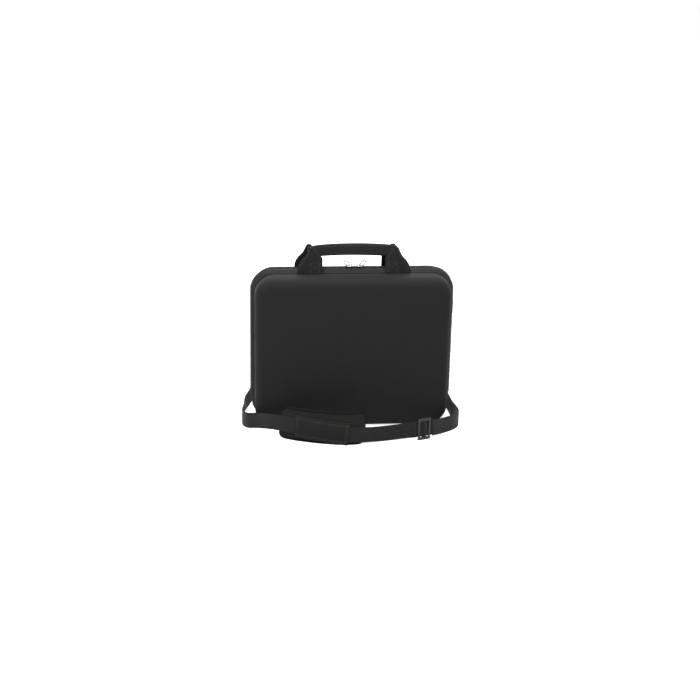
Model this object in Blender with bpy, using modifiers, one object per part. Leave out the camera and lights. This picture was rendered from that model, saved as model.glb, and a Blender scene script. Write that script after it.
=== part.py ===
"""Miniature carry case: a moulded clamshell with foam trays, two handles, a zip and a shoulder strap.

The case stands on its long side. +X runs along that side, -Y is the front and +Z is up.
The origin is on the floor, under the middle of the zip. All lengths are in metres.
"""
import math

import bmesh
import bpy
import numpy as np
from mathutils import Matrix, Vector

MM = 0.001
GAP = 0.3 * MM                    # running gap between neighbouring pieces

# ---- shells -------------------------------------------------------------------------------
SHELL_HALF_WIDTH = 191 * MM
SHELL_HEIGHT = 308 * MM
SHELL_DEPTH = 38 * MM             # from the rim to the flat face
FACE_RADIUS = 19 * MM             # rounding between side walls and face
CORNER_RADIUS = 38 * MM
SHELL_WALL = 4.5 * MM
FACE_CROWN = 1.5 * MM
RIM_Y = 14 * MM                   # half of the zip band's width
RIM_ROLL = 3 * MM                 # how far the rim curls in at the seam
CORNER_STEPS = 7

# ---- zip band -----------------------------------------------------------------------------
RIDGE = 8 * MM                    # how far the zip band stands out from the shells
TAPE_THICK = 1.2 * MM
CHAIN_GAP = 1.1 * MM              # half the gap between the two zip chains
CHAIN_WIDTH = 2.0 * MM
CHAIN_HEIGHT = 1.7 * MM
ZIP_END_GAP = 3 * MM              # the zip ends this far in from the bottom corners
ZIP_FADE = 62 * MM                # height over which the ridge rises from the bottom
CHAIN_SINK = 0.5 * MM             # extra depth of the band where it ends on the bottom
HINGE_THICK = 2.2 * MM            # laminated fabric, flush with the shells' undersides
BINDING_WIDTH = 5.5 * MM
BINDING_THICK = 1.6 * MM
RIM_TUCK = 2.2 * MM               # how far the binding tucks in behind the rim's curl

# ---- zip sliders --------------------------------------------------------------------------
SLIDER_LENGTH = 15 * MM
SLIDER_WIDTH = 10 * MM
SLIDER_PLATE = 1.5 * MM
SLIDER_BASE_WIDTH = 6.6 * MM      # the plate under the tapes is the narrower one
SLIDER_DEPTH = 8.8 * MM           # from the crest of the zip band down to that plate
SLIDER_APART = 22 * MM            # between the middles of the two sliders
SLIDER_SHIFT = 4 * MM             # where they meet, to the right of the middle
BAIL_HEIGHT = 5.0 * MM
BAIL_WIRE = 0.9 * MM              # radius
PULL_WIDTH = 10.5 * MM
PULL_LENGTH = 12 * MM
PULL_WIRE = 1.0 * MM              # radius
PULL_LEAN = 55                    # degrees from upright, away from the other slider

# ---- handles ------------------------------------------------------------------------------
TAB_WIDTH = 49 * MM
TAB_SPACING = 170 * MM            # between the middles of the two tabs
TAB_THICK = 1.8 * MM
TAB_TOP = 52 * MM
GRIP_HEIGHT = 23 * MM
GRIP_THICK = 8 * MM
GRIP_LOW = 34 * MM                # underside of the grip above the tab's foot
GRIP_CROWN = 4 * MM
GRIP_HALF_LENGTH = 84 * MM
HANDLE_Y = RIM_Y + 3.4 * MM
HANDLE_LEAN = 6                   # degrees that each handle leans towards the other
HANDLE_SHIFT = {"front": 1 * MM, "rear": -3 * MM}

# ---- foam ---------------------------------------------------------------------------------
FOAM_FIT = 0.5 * MM               # gap between the foam and the shell
DIVIDER_THICK = 5 * MM
DIVIDER_GAP = 0.5 * MM
FOAM_WALL = 8 * MM
REAR_POCKETS = (3, 3)             # columns and rows in each half tray
FRONT_POCKETS = (2, 2)

# ---- shoulder strap -----------------------------------------------------------------------
WEBBING = 32 * MM
WEBBING_THICK = 1.6 * MM
FLOOR_GAP = 0.3 * MM
PAD_LENGTH = 176 * MM
PAD_HEIGHT = 68 * MM
PAD_THICK = 9 * MM
SLEEVE_LENGTH = 107 * MM
SLEEVE_HEIGHT = 46 * MM
SLEEVE_THICK = 1.2 * MM
ADJUSTER_LENGTH = 27 * MM
ADJUSTER_HEIGHT = 45 * MM
ADJUSTER_BAR = 3 * MM             # thickness of the frame and its bars
ADJUSTER_RAIL = 4.5 * MM          # width of the end bars, along the strap
ADJUSTER_SIDE = 5.5 * MM          # width of the long rails above and below the strap
ADJUSTER_MIDDLE = 3.2 * MM        # width of the middle bar
ADJUSTER_EDGE = 0.9 * MM          # rounding of the frame's edges

# ---- rings and hooks ----------------------------------------------------------------------
RING_X = 150 * MM
RING_BAR_Z = 262 * MM
RING_WIRE = 1.75 * MM             # radius
RING_HALF_WIDTH = 16 * MM
RING_DROP = 24 * MM
RING_LEAN = 20                    # degrees that the ring hangs away from the case
LOOP_WIDTH = 25 * MM
LOOP_LENGTH = 30 * MM
LOOP_THICK = 1.4 * MM
HOOK_WIRE = 1.75 * MM
HOOK_HALF_WIDTH = 5.2 * MM
HOOK_LENGTH = 25 * MM
SWIVEL_RADIUS = 3.2 * MM
SWIVEL_LENGTH = 6 * MM
EYE_HEIGHT = 12 * MM

# ---- label --------------------------------------------------------------------------------
LABEL_Z = 224 * MM
LABEL_LENGTH = 30 * MM
LABEL_REACH = 7 * MM
LABEL_THICK = 1.0 * MM

RIM_TOP = SHELL_HEIGHT + RIDGE    # crest of the zip band on the top run
BACK_Y = RIM_Y + SHELL_DEPTH      # the edge of the rear face
ZIP_END_X = SHELL_HALF_WIDTH - CORNER_RADIUS - ZIP_END_GAP


# ---- scene --------------------------------------------------------------------------------
def clear_scene():
    for item in list(bpy.data.objects):
        bpy.data.objects.remove(item, do_unlink=True)


def collection(name):
    group = bpy.data.collections.new(name)
    bpy.context.scene.collection.children.link(group)
    return group


def material(name, colour, roughness, metallic=0.0):
    mat = bpy.data.materials.new(name)
    mat.use_nodes = True
    shader = mat.node_tree.nodes["Principled BSDF"]
    shader.inputs["Base Color"].default_value = (*colour, 1.0)
    shader.inputs["Roughness"].default_value = roughness
    shader.inputs["Metallic"].default_value = metallic
    return mat


clear_scene()
CASE = collection("miniature_carry_case")
CUTTERS = collection("cutters")
SHELL_FABRIC = material("shell_fabric", (0.022, 0.022, 0.024), 0.8)
BINDING_FABRIC = material("binding_fabric", (0.012, 0.012, 0.013), 0.9)
ZIP_TAPE = material("zip_tape", (0.03, 0.027, 0.029), 0.85)
ZIP_CHAIN = material("zip_chain", (0.02, 0.02, 0.02), 0.5)
WEB_NYLON = material("web_nylon", (0.03, 0.03, 0.03), 0.7)
FOAM = material("foam", (0.035, 0.035, 0.037), 0.95)
BRIGHT_METAL = material("bright_metal", (0.62, 0.6, 0.58), 0.25, 1.0)
BLACK_METAL = material("black_metal", (0.05, 0.05, 0.05), 0.35, 0.9)
PLASTIC = material("plastic", (0.035, 0.035, 0.035), 0.4)
LABEL = material("label", (0.05, 0.05, 0.052), 0.8)


# ---- mesh helpers -------------------------------------------------------------------------
def add_object(name, mesh, mat, group=None, smooth=35):
    obj = bpy.data.objects.new(name, mesh)
    (group or CASE).objects.link(obj)
    if mat:
        mesh.materials.append(mat)
    if smooth:
        mesh.shade_smooth()
        mesh.set_sharp_from_angle(angle=math.radians(smooth))
    return obj


def mesh_from_bmesh(name, bm):
    mesh = bpy.data.meshes.new(name)
    bm.to_mesh(mesh)
    bm.free()
    return mesh


def loft(name, rings, mat, closed=False):
    """Skin a list of rings, each an equal list of points, and cap or join the two ends."""
    bm = bmesh.new()
    rows = [[bm.verts.new(point) for point in ring] for ring in rings]
    pairs = list(zip(rows, rows[1:]))
    if closed:
        pairs.append((rows[-1], rows[0]))
    for low, high in pairs:
        for index in range(len(low)):
            after = (index + 1) % len(low)
            bm.faces.new((low[index], low[after], high[after], high[index]))
    if not closed:
        bm.faces.new(rows[0][::-1])
        bm.faces.new(rows[-1])
    bmesh.ops.recalc_face_normals(bm, faces=bm.faces)
    if bm.calc_volume(signed=True) < 0:
        bmesh.ops.reverse_faces(bm, faces=bm.faces)
    return add_object(name, mesh_from_bmesh(name, bm), mat)


def box_object(name, low, high, mat=None, group=None):
    bm = bmesh.new()
    bmesh.ops.create_cube(bm, size=1.0)
    centre = (Vector(low) + Vector(high)) / 2
    size = Vector(high) - Vector(low)
    for vert in bm.verts:
        vert.co = centre + Vector(a * b for a, b in zip(vert.co, size))
    return add_object(name, mesh_from_bmesh(name, bm), mat, group, smooth=None)


def boolean(obj, other, operation="UNION"):
    mod = obj.modifiers.new(operation.lower(), "BOOLEAN")
    mod.operation = operation
    mod.object = other
    mod.solver = "EXACT"
    return obj


def as_cutter(obj):
    for group in list(obj.users_collection):
        group.objects.unlink(obj)
    CUTTERS.objects.link(obj)
    obj.hide_render = True
    obj.display_type = "WIRE"
    return obj


def wire(name, points, radius, mat, cyclic=False, sides=3):
    """Round wire through the points, as a mesh with welded caps."""
    curve = bpy.data.curves.new(name, "CURVE")
    curve.dimensions = "3D"
    curve.bevel_depth = radius
    curve.bevel_resolution = sides
    curve.use_fill_caps = True
    spline = curve.splines.new("POLY")
    spline.points.add(len(points) - 1)
    for point, place in zip(spline.points, points):
        point.co = (*place, 1.0)
    spline.use_cyclic_u = cyclic
    source = bpy.data.objects.new(name + "_curve", curve)
    bpy.context.scene.collection.objects.link(source)
    bpy.context.view_layer.update()
    graph = bpy.context.evaluated_depsgraph_get()
    mesh = bpy.data.meshes.new_from_object(source.evaluated_get(graph))
    bpy.data.objects.remove(source, do_unlink=True)
    bm = bmesh.new()
    bm.from_mesh(mesh)
    bpy.data.meshes.remove(mesh)
    bmesh.ops.remove_doubles(bm, verts=bm.verts, dist=0.00001)
    bmesh.ops.recalc_face_normals(bm, faces=bm.faces)
    mesh = mesh_from_bmesh(name, bm)
    mesh.materials.clear()
    return add_object(name, mesh, mat)


def cylinder(name, start, end, radius, mat, sides=16):
    bm = bmesh.new()
    axis = Vector(end) - Vector(start)
    bmesh.ops.create_cone(bm, cap_ends=True, segments=sides, radius1=radius, radius2=radius,
                          depth=axis.length)
    turn = axis.to_track_quat("Z", "Y").to_matrix().to_4x4()
    place = Matrix.Translation((Vector(start) + Vector(end)) / 2)
    bmesh.ops.transform(bm, matrix=place @ turn, verts=bm.verts)
    return add_object(name, mesh_from_bmesh(name, bm), mat)


def smoothstep(value):
    value = min(max(value, 0.0), 1.0)
    return value * value * (3 - 2 * value)


# ---- the case's outline -------------------------------------------------------------------
def outline(inset):
    """Rounded rectangle in X and Z, anticlockwise seen from the front, inset from the shells."""
    half = SHELL_HALF_WIDTH - inset
    low = inset
    high = SHELL_HEIGHT - inset
    radius = max(CORNER_RADIUS - inset, 2 * MM)
    points = []
    corners = ((half - radius, low + radius, -90), (half - radius, high - radius, 0),
               (-half + radius, high - radius, 90), (-half + radius, low + radius, 180))
    for x, z, start in corners:
        for step in range(CORNER_STEPS + 1):
            angle = math.radians(start + 90 * step / CORNER_STEPS)
            points.append((x + radius * math.cos(angle), z + radius * math.sin(angle)))
    return points


def ring_at(y, inset):
    return [Vector((x, y, z)) for x, z in outline(inset)]


def towards_middle(ring, share, y):
    middle = Vector((0, y, SHELL_HEIGHT / 2))
    return [middle + (Vector((p.x, y, p.z)) - middle) * share for p in ring]


# ---- shells -------------------------------------------------------------------------------
def shell(name, side):
    """A tub: rolled rim, straight wall, rounded edge and a slightly crowned face."""
    rings = [ring_at(side * RIM_Y, RIM_ROLL), ring_at(side * (RIM_Y + RIM_ROLL * 0.3), RIM_ROLL * 0.3),
             ring_at(side * (RIM_Y + RIM_ROLL), 0.0)]
    straight = SHELL_DEPTH - FACE_RADIUS
    for step in range(7):
        angle = math.radians(90 * step / 6)
        y = RIM_Y + straight + FACE_RADIUS * math.sin(angle)
        rings.append(ring_at(side * y, FACE_RADIUS * (1 - math.cos(angle))))
    flat = rings[-1]
    for share in (0.72, 0.36):
        y = RIM_Y + SHELL_DEPTH + FACE_CROWN * (1 - share ** 2)
        rings.append(towards_middle(flat, share, side * y))
    bm = bmesh.new()
    rows = [[bm.verts.new(point) for point in ring] for ring in rings]
    for low, high in zip(rows, rows[1:]):
        for index in range(len(low)):
            after = (index + 1) % len(low)
            bm.faces.new((low[index], low[after], high[after], high[index]))
    bm.faces.new(rows[-1])
    bmesh.ops.recalc_face_normals(bm, faces=bm.faces)
    bm.faces.ensure_lookup_table()
    face = bm.faces[-1]
    if face.normal.y * side < 0:
        bmesh.ops.reverse_faces(bm, faces=bm.faces)
    obj = add_object(name, mesh_from_bmesh(name, bm), SHELL_FABRIC)
    wall = obj.modifiers.new("wall", "SOLIDIFY")
    wall.thickness = SHELL_WALL
    wall.offset = -1
    wall.use_even_offset = True
    return obj


# ---- stations along the zip ---------------------------------------------------------------
def zip_stations():
    """Points along the zip, up the right side, over the top and down the left side, each with
    its outward direction. The extra points on the side carry the rise of the ridge."""
    middle_x, low_z, high_z = SHELL_HALF_WIDTH - CORNER_RADIUS, CORNER_RADIUS, SHELL_HEIGHT - CORNER_RADIUS
    right = [((ZIP_END_X, 0.0), (0.0, -1.0))]
    for centre_z, start in ((low_z, -90), (high_z, 0)):
        for step in range(CORNER_STEPS + 1):
            angle = math.radians(start + 90 * step / CORNER_STEPS)
            out = (math.cos(angle), math.sin(angle))
            right.append(((middle_x + CORNER_RADIUS * out[0], centre_z + CORNER_RADIUS * out[1]), out))
        if centre_z == low_z:
            right += [((SHELL_HALF_WIDTH, low_z + share * (high_z - low_z)), (1.0, 0.0))
                      for share in (0.12, 0.3)]
    return right + [((-x, z), (-out_x, out_z)) for (x, z), (out_x, out_z) in reversed(right)]


def ridge_at(z):
    """The band's reach beyond the outline: sunk in at the bottom, full height further up."""
    low = -(CHAIN_HEIGHT + CHAIN_SINK)
    return low + (RIDGE - low) * smoothstep((z - 2 * MM) / ZIP_FADE)


def band(name, mat, profile):
    """Sweep a section along the zip. The section gives (y, share of the ridge, extra reach)."""
    rings = []
    for (x, z), (out_x, out_z) in zip_stations():
        ridge = ridge_at(z)
        ring = []
        for y, share, extra in profile:
            reach = -RIM_ROLL + share * (ridge + RIM_ROLL) + extra
            ring.append(Vector((x + out_x * reach, y, z + out_z * reach)))
        rings.append(ring)
    return loft(name, rings, mat)


def zip_tape(name, side):
    steps = ((RIM_Y - GAP, 0.0), (11.2 * MM, 0.42), (6.5 * MM, 0.8), (CHAIN_GAP, 1.0))
    outer = [(side * y, share, 0.0) for y, share in steps]
    inner = [(side * y, share, -TAPE_THICK) for y, share in reversed(steps)]
    return band(name, ZIP_TAPE, outer + inner)


def zip_chain(name, side):
    near, far = CHAIN_GAP, CHAIN_GAP + CHAIN_WIDTH
    low, high = GAP + 0.1 * MM, GAP + 0.1 * MM + CHAIN_HEIGHT
    section = ((near, low), (near, high - 0.4 * MM), (near + 0.5 * MM, high), (far - 0.5 * MM, high),
               (far, high - 0.4 * MM), (far, low))
    return band(name, ZIP_CHAIN, [(side * y, 1.0, reach) for y, reach in section])


def hinge_fabric():
    """The bottom strip that joins the two shells between the ends of the zip."""
    half = ZIP_END_X - GAP
    return box_object("hinge_gusset", (-half, -RIM_Y + GAP, 0.0), (half, RIM_Y - GAP, HINGE_THICK),
                      BINDING_FABRIC)


BINDING_INSET = SHELL_WALL + RIM_ROLL - RIM_TUCK + GAP


def seam_binding(name, side):
    """Bound edge inside a shell's rim, a closed ring."""
    far = RIM_Y - GAP
    near = far - BINDING_WIDTH
    outer = BINDING_INSET
    inner = outer + BINDING_THICK
    rings = [ring_at(side * near, outer), ring_at(side * far, outer),
             ring_at(side * far, inner), ring_at(side * near, inner)]
    return loft(name, rings, BINDING_FABRIC, closed=True)


# ---- foam ---------------------------------------------------------------------------------
FOAM_INSET = SHELL_WALL + FOAM_FIT
TRAY_INSET = BINDING_INSET + BINDING_THICK + FOAM_FIT      # the trays pass the seam bindings
FOAM_NEAR = DIVIDER_THICK / 2 + DIVIDER_GAP
FOAM_FAR = RIM_Y + SHELL_DEPTH - FACE_RADIUS - GAP


def foam_block(name, side, half_side):
    """Half tray: a block with one rounded side that fits its half of the shell."""
    inset = TRAY_INSET
    keep = [(x, z) for x, z in outline(inset) if x * half_side > 0]
    seam = half_side * GAP
    low, high = inset, SHELL_HEIGHT - inset
    keep = sorted(keep, key=lambda p: math.atan2(p[1] - SHELL_HEIGHT / 2, p[0] * half_side))
    points = [(seam, low)] + keep + [(seam, high)]
    rings = [[Vector((x, side * y, z)) for x, z in points] for y in (FOAM_NEAR, FOAM_FAR)]
    return loft(name, rings, FOAM)


def pocket_boxes(side, half_side, grid):
    """Low and high corners of each pocket in a half tray, evenly spread with equal walls."""
    columns, rows = grid
    inset = TRAY_INSET
    x_low, x_high = GAP + FOAM_WALL, SHELL_HALF_WIDTH - inset - FOAM_WALL
    z_low, z_high = inset + FOAM_WALL, SHELL_HEIGHT - inset - FOAM_WALL
    width = (x_high - x_low - (columns - 1) * FOAM_WALL) / columns
    height = (z_high - z_low - (rows - 1) * FOAM_WALL) / rows
    boxes = []
    for column in range(columns):
        for row in range(rows):
            x = x_low + column * (width + FOAM_WALL)
            z = z_low + row * (height + FOAM_WALL)
            xs = sorted((half_side * x, half_side * (x + width)))
            ys = sorted((side * (FOAM_NEAR - 5 * MM), side * (FOAM_FAR + 5 * MM)))
            boxes.append(((xs[0], ys[0], z), (xs[1], ys[1], z + height)))
    return boxes


def half_tray(name, side, half_side, grid):
    tray = foam_block(name, side, half_side)
    bm = bmesh.new()
    for low, high in pocket_boxes(side, half_side, grid):
        centre = (Vector(low) + Vector(high)) / 2
        size = Vector(high) - Vector(low)
        made = bmesh.ops.create_cube(bm, size=1.0)
        for vert in made["verts"]:
            vert.co = centre + Vector(a * b for a, b in zip(vert.co, size))
    edges = [edge for edge in bm.edges if abs(edge.verts[0].co.y - edge.verts[1].co.y) > MM]
    bmesh.ops.bevel(bm, geom=edges, offset=6 * MM, segments=2, affect="EDGES", profile=0.5)
    cutter = add_object(name + "_pockets", mesh_from_bmesh(name + "_pockets", bm), None, CUTTERS, None)
    as_cutter(cutter)
    boolean(tray, cutter, "DIFFERENCE")
    return tray


def foam_floor(name, side):
    """Foam behind the trays, rounded like the inside of the shell."""
    radius = FACE_RADIUS - SHELL_WALL
    start = FOAM_FAR + GAP
    reach = RIM_Y + SHELL_DEPTH - SHELL_WALL - FOAM_FIT
    rings = []
    for step in range(5):
        share = step / 4
        y = start + (reach - start) * math.sin(math.radians(90 * share))
        inset = FOAM_INSET + radius * (1 - math.cos(math.radians(90 * share)))
        rings.append(ring_at(side * y, inset + 0.3 * MM))
    return loft(name, rings, FOAM)


def divider_pad():
    inset = TRAY_INSET
    half = DIVIDER_THICK / 2
    return loft("divider_pad", [ring_at(-half, inset), ring_at(half, inset)], FOAM)


# ---- handles ------------------------------------------------------------------------------
def tab_outline(mirror):
    """A webbing tab, full width at its foot and folded to half width where the grip starts."""
    inner = -TAB_WIDTH / 2
    points = [(0, 0), (0, 0.6), (17.5, 1.0), (25.5, 1.0), (33.5, 0.67), (41, 0.53), (46.5, 0.37), (49, 0.2),
              (49, 0)]
    scale = TAB_WIDTH / 49
    return [(mirror * (TAB_SPACING / 2 + inner + x * scale), TAB_TOP * share) for x, share in points]


def handle(name, side, shift):
    """Two folded tabs and the crowned grip between them, fused, on the tabs' feet."""
    plates = []
    for mirror in (-1, 1):
        ring = tab_outline(mirror)
        low = [Vector((x, -TAB_THICK / 2, z)) for x, z in ring]
        high = [Vector((x, TAB_THICK / 2, z)) for x, z in ring]
        plates.append(loft(f"{name}_tab_{mirror}", [low, high], WEB_NYLON))
    rings = []
    count = 13
    middle_y = TAB_THICK / 2 + GRIP_THICK / 2 - 0.5 * MM
    for step in range(count):
        along = -1 + 2 * step / (count - 1)
        crown = GRIP_CROWN * (1 - along ** 2)
        centre_z = GRIP_LOW + GRIP_HEIGHT / 2 + crown - GRIP_CROWN * 0.35
        end = 1 - 0.12 * abs(along) ** 8
        ring = []
        for turn in range(16):
            angle = 2 * math.pi * turn / 16
            cos, sin = math.cos(angle), math.sin(angle)
            y = middle_y + GRIP_THICK / 2 * math.copysign(abs(cos) ** 0.7, cos) * end
            z = centre_z + GRIP_HEIGHT / 2 * math.copysign(abs(sin) ** 0.6, sin) * end
            ring.append(Vector((along * GRIP_HALF_LENGTH, y, z)))
        rings.append(ring)
    body = loft(name, rings, WEB_NYLON)
    for plate in plates:
        as_cutter(plate)
        boolean(body, plate)
    lean = Matrix.Rotation(math.radians(-HANDLE_LEAN), 4, "X")
    for item in [body] + plates:
        item.data.transform(lean)
        if side > 0:
            item.data.transform(Matrix.Diagonal((1, -1, 1, 1)))
            item.data.flip_normals()
        item.location = (shift, side * HANDLE_Y, SHELL_HEIGHT + GAP + TAB_THICK * 0.12)
    return body


# ---- zip sliders and pulls ----------------------------------------------------------------
SLIDER_TOP = RIM_TOP + GAP + 0.1 * MM + CHAIN_HEIGHT + 0.4 * MM
SLIDER_BASE = RIM_TOP - SLIDER_DEPTH
PULL_PIVOT_Z = SLIDER_TOP + SLIDER_PLATE + PULL_WIRE + GAP


def slider(name, x):
    """Two plates joined by a thin post between the chains, and a bail on top."""
    half_length, half_width, half_base = SLIDER_LENGTH / 2, SLIDER_WIDTH / 2, SLIDER_BASE_WIDTH / 2
    post = CHAIN_GAP - 0.35 * MM
    body = box_object(name, (x - half_length, -half_width, SLIDER_TOP),
                      (x + half_length, half_width, SLIDER_TOP + SLIDER_PLATE), BRIGHT_METAL)
    base = box_object(name + "_base", (x - half_length, -half_base, SLIDER_BASE - SLIDER_PLATE),
                      (x + half_length, half_base, SLIDER_BASE))
    stem = box_object(name + "_post", (x - 3 * MM, -post, SLIDER_BASE - SLIDER_PLATE / 2),
                      (x + 3 * MM, post, SLIDER_TOP + SLIDER_PLATE / 2))
    top = SLIDER_TOP + SLIDER_PLATE
    reach = half_length - 2 * MM
    arch = []
    for step in range(9):
        angle = math.radians(180 * step / 8)
        arch.append((x - reach * math.cos(angle), 0.0,
                     top - 0.6 * MM + (BAIL_HEIGHT - BAIL_WIRE + 0.6 * MM) * math.sin(angle) ** 0.6))
    bail = wire(name + "_bail", arch, BAIL_WIRE, BRIGHT_METAL, sides=2)
    for piece in (base, stem, bail):
        as_cutter(piece)
        boolean(body, piece)
    return body


def pull(name, x, side):
    """A rounded loop through the bail that leans away from the other slider."""
    pivot = Vector((x, 0.0, PULL_PIVOT_Z))
    half = PULL_WIDTH / 2 - PULL_WIRE
    length = PULL_LENGTH
    foot = BAIL_WIRE + PULL_WIRE + 0.5 * MM
    path = [(-foot, 0.0), (foot, 0.0), (half, 0.3 * length), (half, 0.68 * length),
            (half * 0.62, 0.92 * length), (0.0, length), (-half * 0.62, 0.92 * length),
            (-half, 0.68 * length), (-half, 0.3 * length)]
    lean = Matrix.Rotation(math.radians(side * PULL_LEAN), 3, "Y")
    points = [pivot + lean @ Vector((0.0, across, up)) for across, up in path]
    return wire(name, points, PULL_WIRE, BRIGHT_METAL, cyclic=True, sides=2)


# ---- strap route --------------------------------------------------------------------------
def crown_at(x, z):
    """How far the crowned face stands out at a place on it."""
    share = max(abs(x) / (SHELL_HALF_WIDTH - FACE_RADIUS),
                abs(z - SHELL_HEIGHT / 2) / (SHELL_HEIGHT / 2 - FACE_RADIUS))
    return FACE_CROWN * (1 - min(share, 1.0) ** 2)


LOOP_BACK_Y = BACK_Y + crown_at(RING_X - LOOP_WIDTH / 2, RING_BAR_Z - 4 * MM) + GAP
RING_Y = LOOP_BACK_Y + LOOP_THICK + GAP + RING_WIRE
LEAN_SIN, LEAN_COS = math.sin(math.radians(RING_LEAN)), math.cos(math.radians(RING_LEAN))
BOW_Y = RING_Y + RING_DROP * LEAN_SIN
BOW_Z = RING_BAR_Z - RING_DROP * LEAN_COS
HOOK_TOP_Z = BOW_Z + RING_WIRE + GAP + HOOK_WIRE
HOOK_LOW_Z = HOOK_TOP_Z - HOOK_LENGTH
EYE_TOP_Z = HOOK_LOW_Z - SWIVEL_LENGTH - 0.6 * MM
EYE_BAR_Z = EYE_TOP_Z - EYE_HEIGHT

# Chosen by hand, in millimetres: the strap's middle line on the floor, from left to right.
FRONT_ROUTE = ((-209, 40, 16.3), (-212, 5, 16.3), (-216, -25, 16.3), (-207, -46, 17.5), (-186, -62, 23),
               (-160, -86, 30), (-130, -107, 32.5), (-98, -121, 31), (-66, -131, 28.5), (-34, -138, 25.5),
               (-2, -139, 22), (30, -130, 18.5), (62, -122, 17.2), (94, -119, 19.6), (126, -120, 22.8),
               (152, -109, 20.6), (176, -91, 17.4), (200, -72, 16.3), (213, -52, 16.3), (213, -30, 16.3),
               (208, 0, 16.3), (206, 35, 16.3))
# From the floor behind the case up to the eye, for the right side.
BACK_ROUTE = ((200, 64, 20), (186, 86, 33), (171, 94, 58), (160, 92, 90), (153, 83, 125), (150.5, 75, 155))


def catmull(points, per_span):
    """Smooth curve through the points, with per_span steps between neighbours."""
    result = []
    count = len(points)
    for index in range(count - 1):
        p0 = points[max(index - 1, 0)]
        p1, p2 = points[index], points[index + 1]
        p3 = points[min(index + 2, count - 1)]
        for step in range(per_span):
            t = step / per_span
            result.append(0.5 * ((2 * p1) + (p2 - p0) * t + (2 * p0 - 5 * p1 + 4 * p2 - p3) * t * t
                                 + (3 * p1 - p0 - 3 * p2 + p3) * t ** 3))
    result.append(points[-1].copy())
    return result


def strap_route():
    """The middle line from the left eye's bar to the right eye's bar."""
    right = [Vector(p) * MM for p in BACK_ROUTE]
    left = [Vector((-p.x, p.y, p.z)) for p in right]
    front = [Vector(p) * MM for p in FRONT_ROUTE]
    top = Vector((RING_X, BOW_Y + 3.4 * MM, EYE_BAR_Z - 4 * MM))
    start = Vector((-top.x, top.y, top.z))
    return catmull([start] + left[::-1] + front + right + [top], 3)


def strap_frames(points):
    """Place, direction across the width, and normal, at each point of the route."""
    frames = []
    for index, point in enumerate(points):
        before = points[max(index - 1, 0)]
        after = points[min(index + 1, len(points) - 1)]
        tangent = (after - before).normalized()
        rise = smoothstep((point.z - 24 * MM) / (110 * MM)) if point.y > 50 * MM else 0.0
        angle = rise * math.pi / 2
        side = 1.0 if point.x > 0 else -1.0
        across = Vector((side * math.sin(angle), 0.0, math.cos(angle)))
        across = (across - tangent * across.dot(tangent)).normalized()
        frames.append((point, across, tangent.cross(across).normalized(), tangent))
    return frames


ROUTE = strap_route()
FRAMES = strap_frames(ROUTE)
LENGTHS = [0.0]
for first, second in zip(ROUTE, ROUTE[1:]):
    LENGTHS.append(LENGTHS[-1] + (second - first).length)


def frame_at(distance):
    """The strap's frame at a distance along it, between the points of the route."""
    index = int(np.searchsorted(LENGTHS, distance)) - 1
    index = min(max(index, 0), len(ROUTE) - 2)
    span = LENGTHS[index + 1] - LENGTHS[index]
    share = (distance - LENGTHS[index]) / span
    low, high = FRAMES[index], FRAMES[index + 1]
    point = low[0].lerp(high[0], share)
    across = low[1].lerp(high[1], share).normalized()
    normal = low[2].lerp(high[2], share).normalized()
    return point, across, normal, low[3].lerp(high[3], share).normalized()


def distance_at_x(x):
    """Distance along the strap where its front run passes this X."""
    for index, point in enumerate(ROUTE):
        if point.y < -60 * MM and point.x >= x:
            return LENGTHS[index]
    return LENGTHS[-1] / 2


PAD_MIDDLE = distance_at_x(-66 * MM)
ADJUSTER_AT = distance_at_x(128 * MM)
STRAIGHT_HALF = ADJUSTER_LENGTH / 2 + 7 * MM


def strap_path():
    """Distance along the route and outward offset for each point of the ribbon."""
    stops = []
    bar = ADJUSTER_BAR / 2 + GAP + WEBBING_THICK / 2
    rail = ADJUSTER_LENGTH / 2 - ADJUSTER_RAIL / 2
    weave = ((-rail - 8 * MM, -0.4 * bar), (-rail - 2.4 * MM, -bar), (-rail + 2.0 * MM, -bar),
             (-rail / 2 + 1 * MM, 0.0), (-2.2 * MM, bar), (2.2 * MM, bar), (rail / 2 - 1 * MM, 0.0),
             (rail - 2.0 * MM, -bar), (rail + 2.4 * MM, -bar), (rail + 8 * MM, -0.4 * bar))
    for distance in LENGTHS:
        if abs(distance - ADJUSTER_AT) > STRAIGHT_HALF + 4 * MM:
            stops.append((distance, 0.0))
    stops += [(ADJUSTER_AT + along, offset) for along, offset in weave]
    return sorted(stops)


def adjuster_frame():
    """Where the adjuster stands on the floor, upright, facing along the strap."""
    point, _, _, tangent = frame_at(ADJUSTER_AT)
    along = Vector((tangent.x, tangent.y, 0.0)).normalized()
    up = Vector((0.0, 0.0, 1.0))
    return Vector((point.x, point.y, FLOOR_GAP + ADJUSTER_HEIGHT / 2)), up, along.cross(up), along


def strap_place(distance, offset):
    """Point, across and outward normal, straight where the strap runs through the adjuster."""
    along = distance - ADJUSTER_AT
    if abs(along) <= STRAIGHT_HALF:
        point, across, normal, tangent = adjuster_frame()
        return point + tangent * along + normal * offset, across, normal
    point, across, normal, _ = frame_at(distance)
    return point + normal * offset, across, normal


def eye_turn(side):
    """Half turn of the webbing round an eye's bar, seen from the side, as points in Y and Z."""
    radius = HOOK_WIRE + GAP + WEBBING_THICK / 2
    points = []
    for step in range(7):
        angle = math.radians(180 * step / 6)
        points.append(Vector((side * RING_X, BOW_Y + radius * math.cos(angle),
                              EYE_BAR_Z + radius * math.sin(angle))))
    return points


def ribbon_rings(places, width, thick):
    """Rectangles of webbing at each place, given as point, across and normal."""
    rings = []
    for point, across, normal in places:
        w, n = across * width / 2, normal * thick / 2
        rings.append([point - w - n, point + w - n, point + w + n, point - w + n])
    return rings


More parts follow.
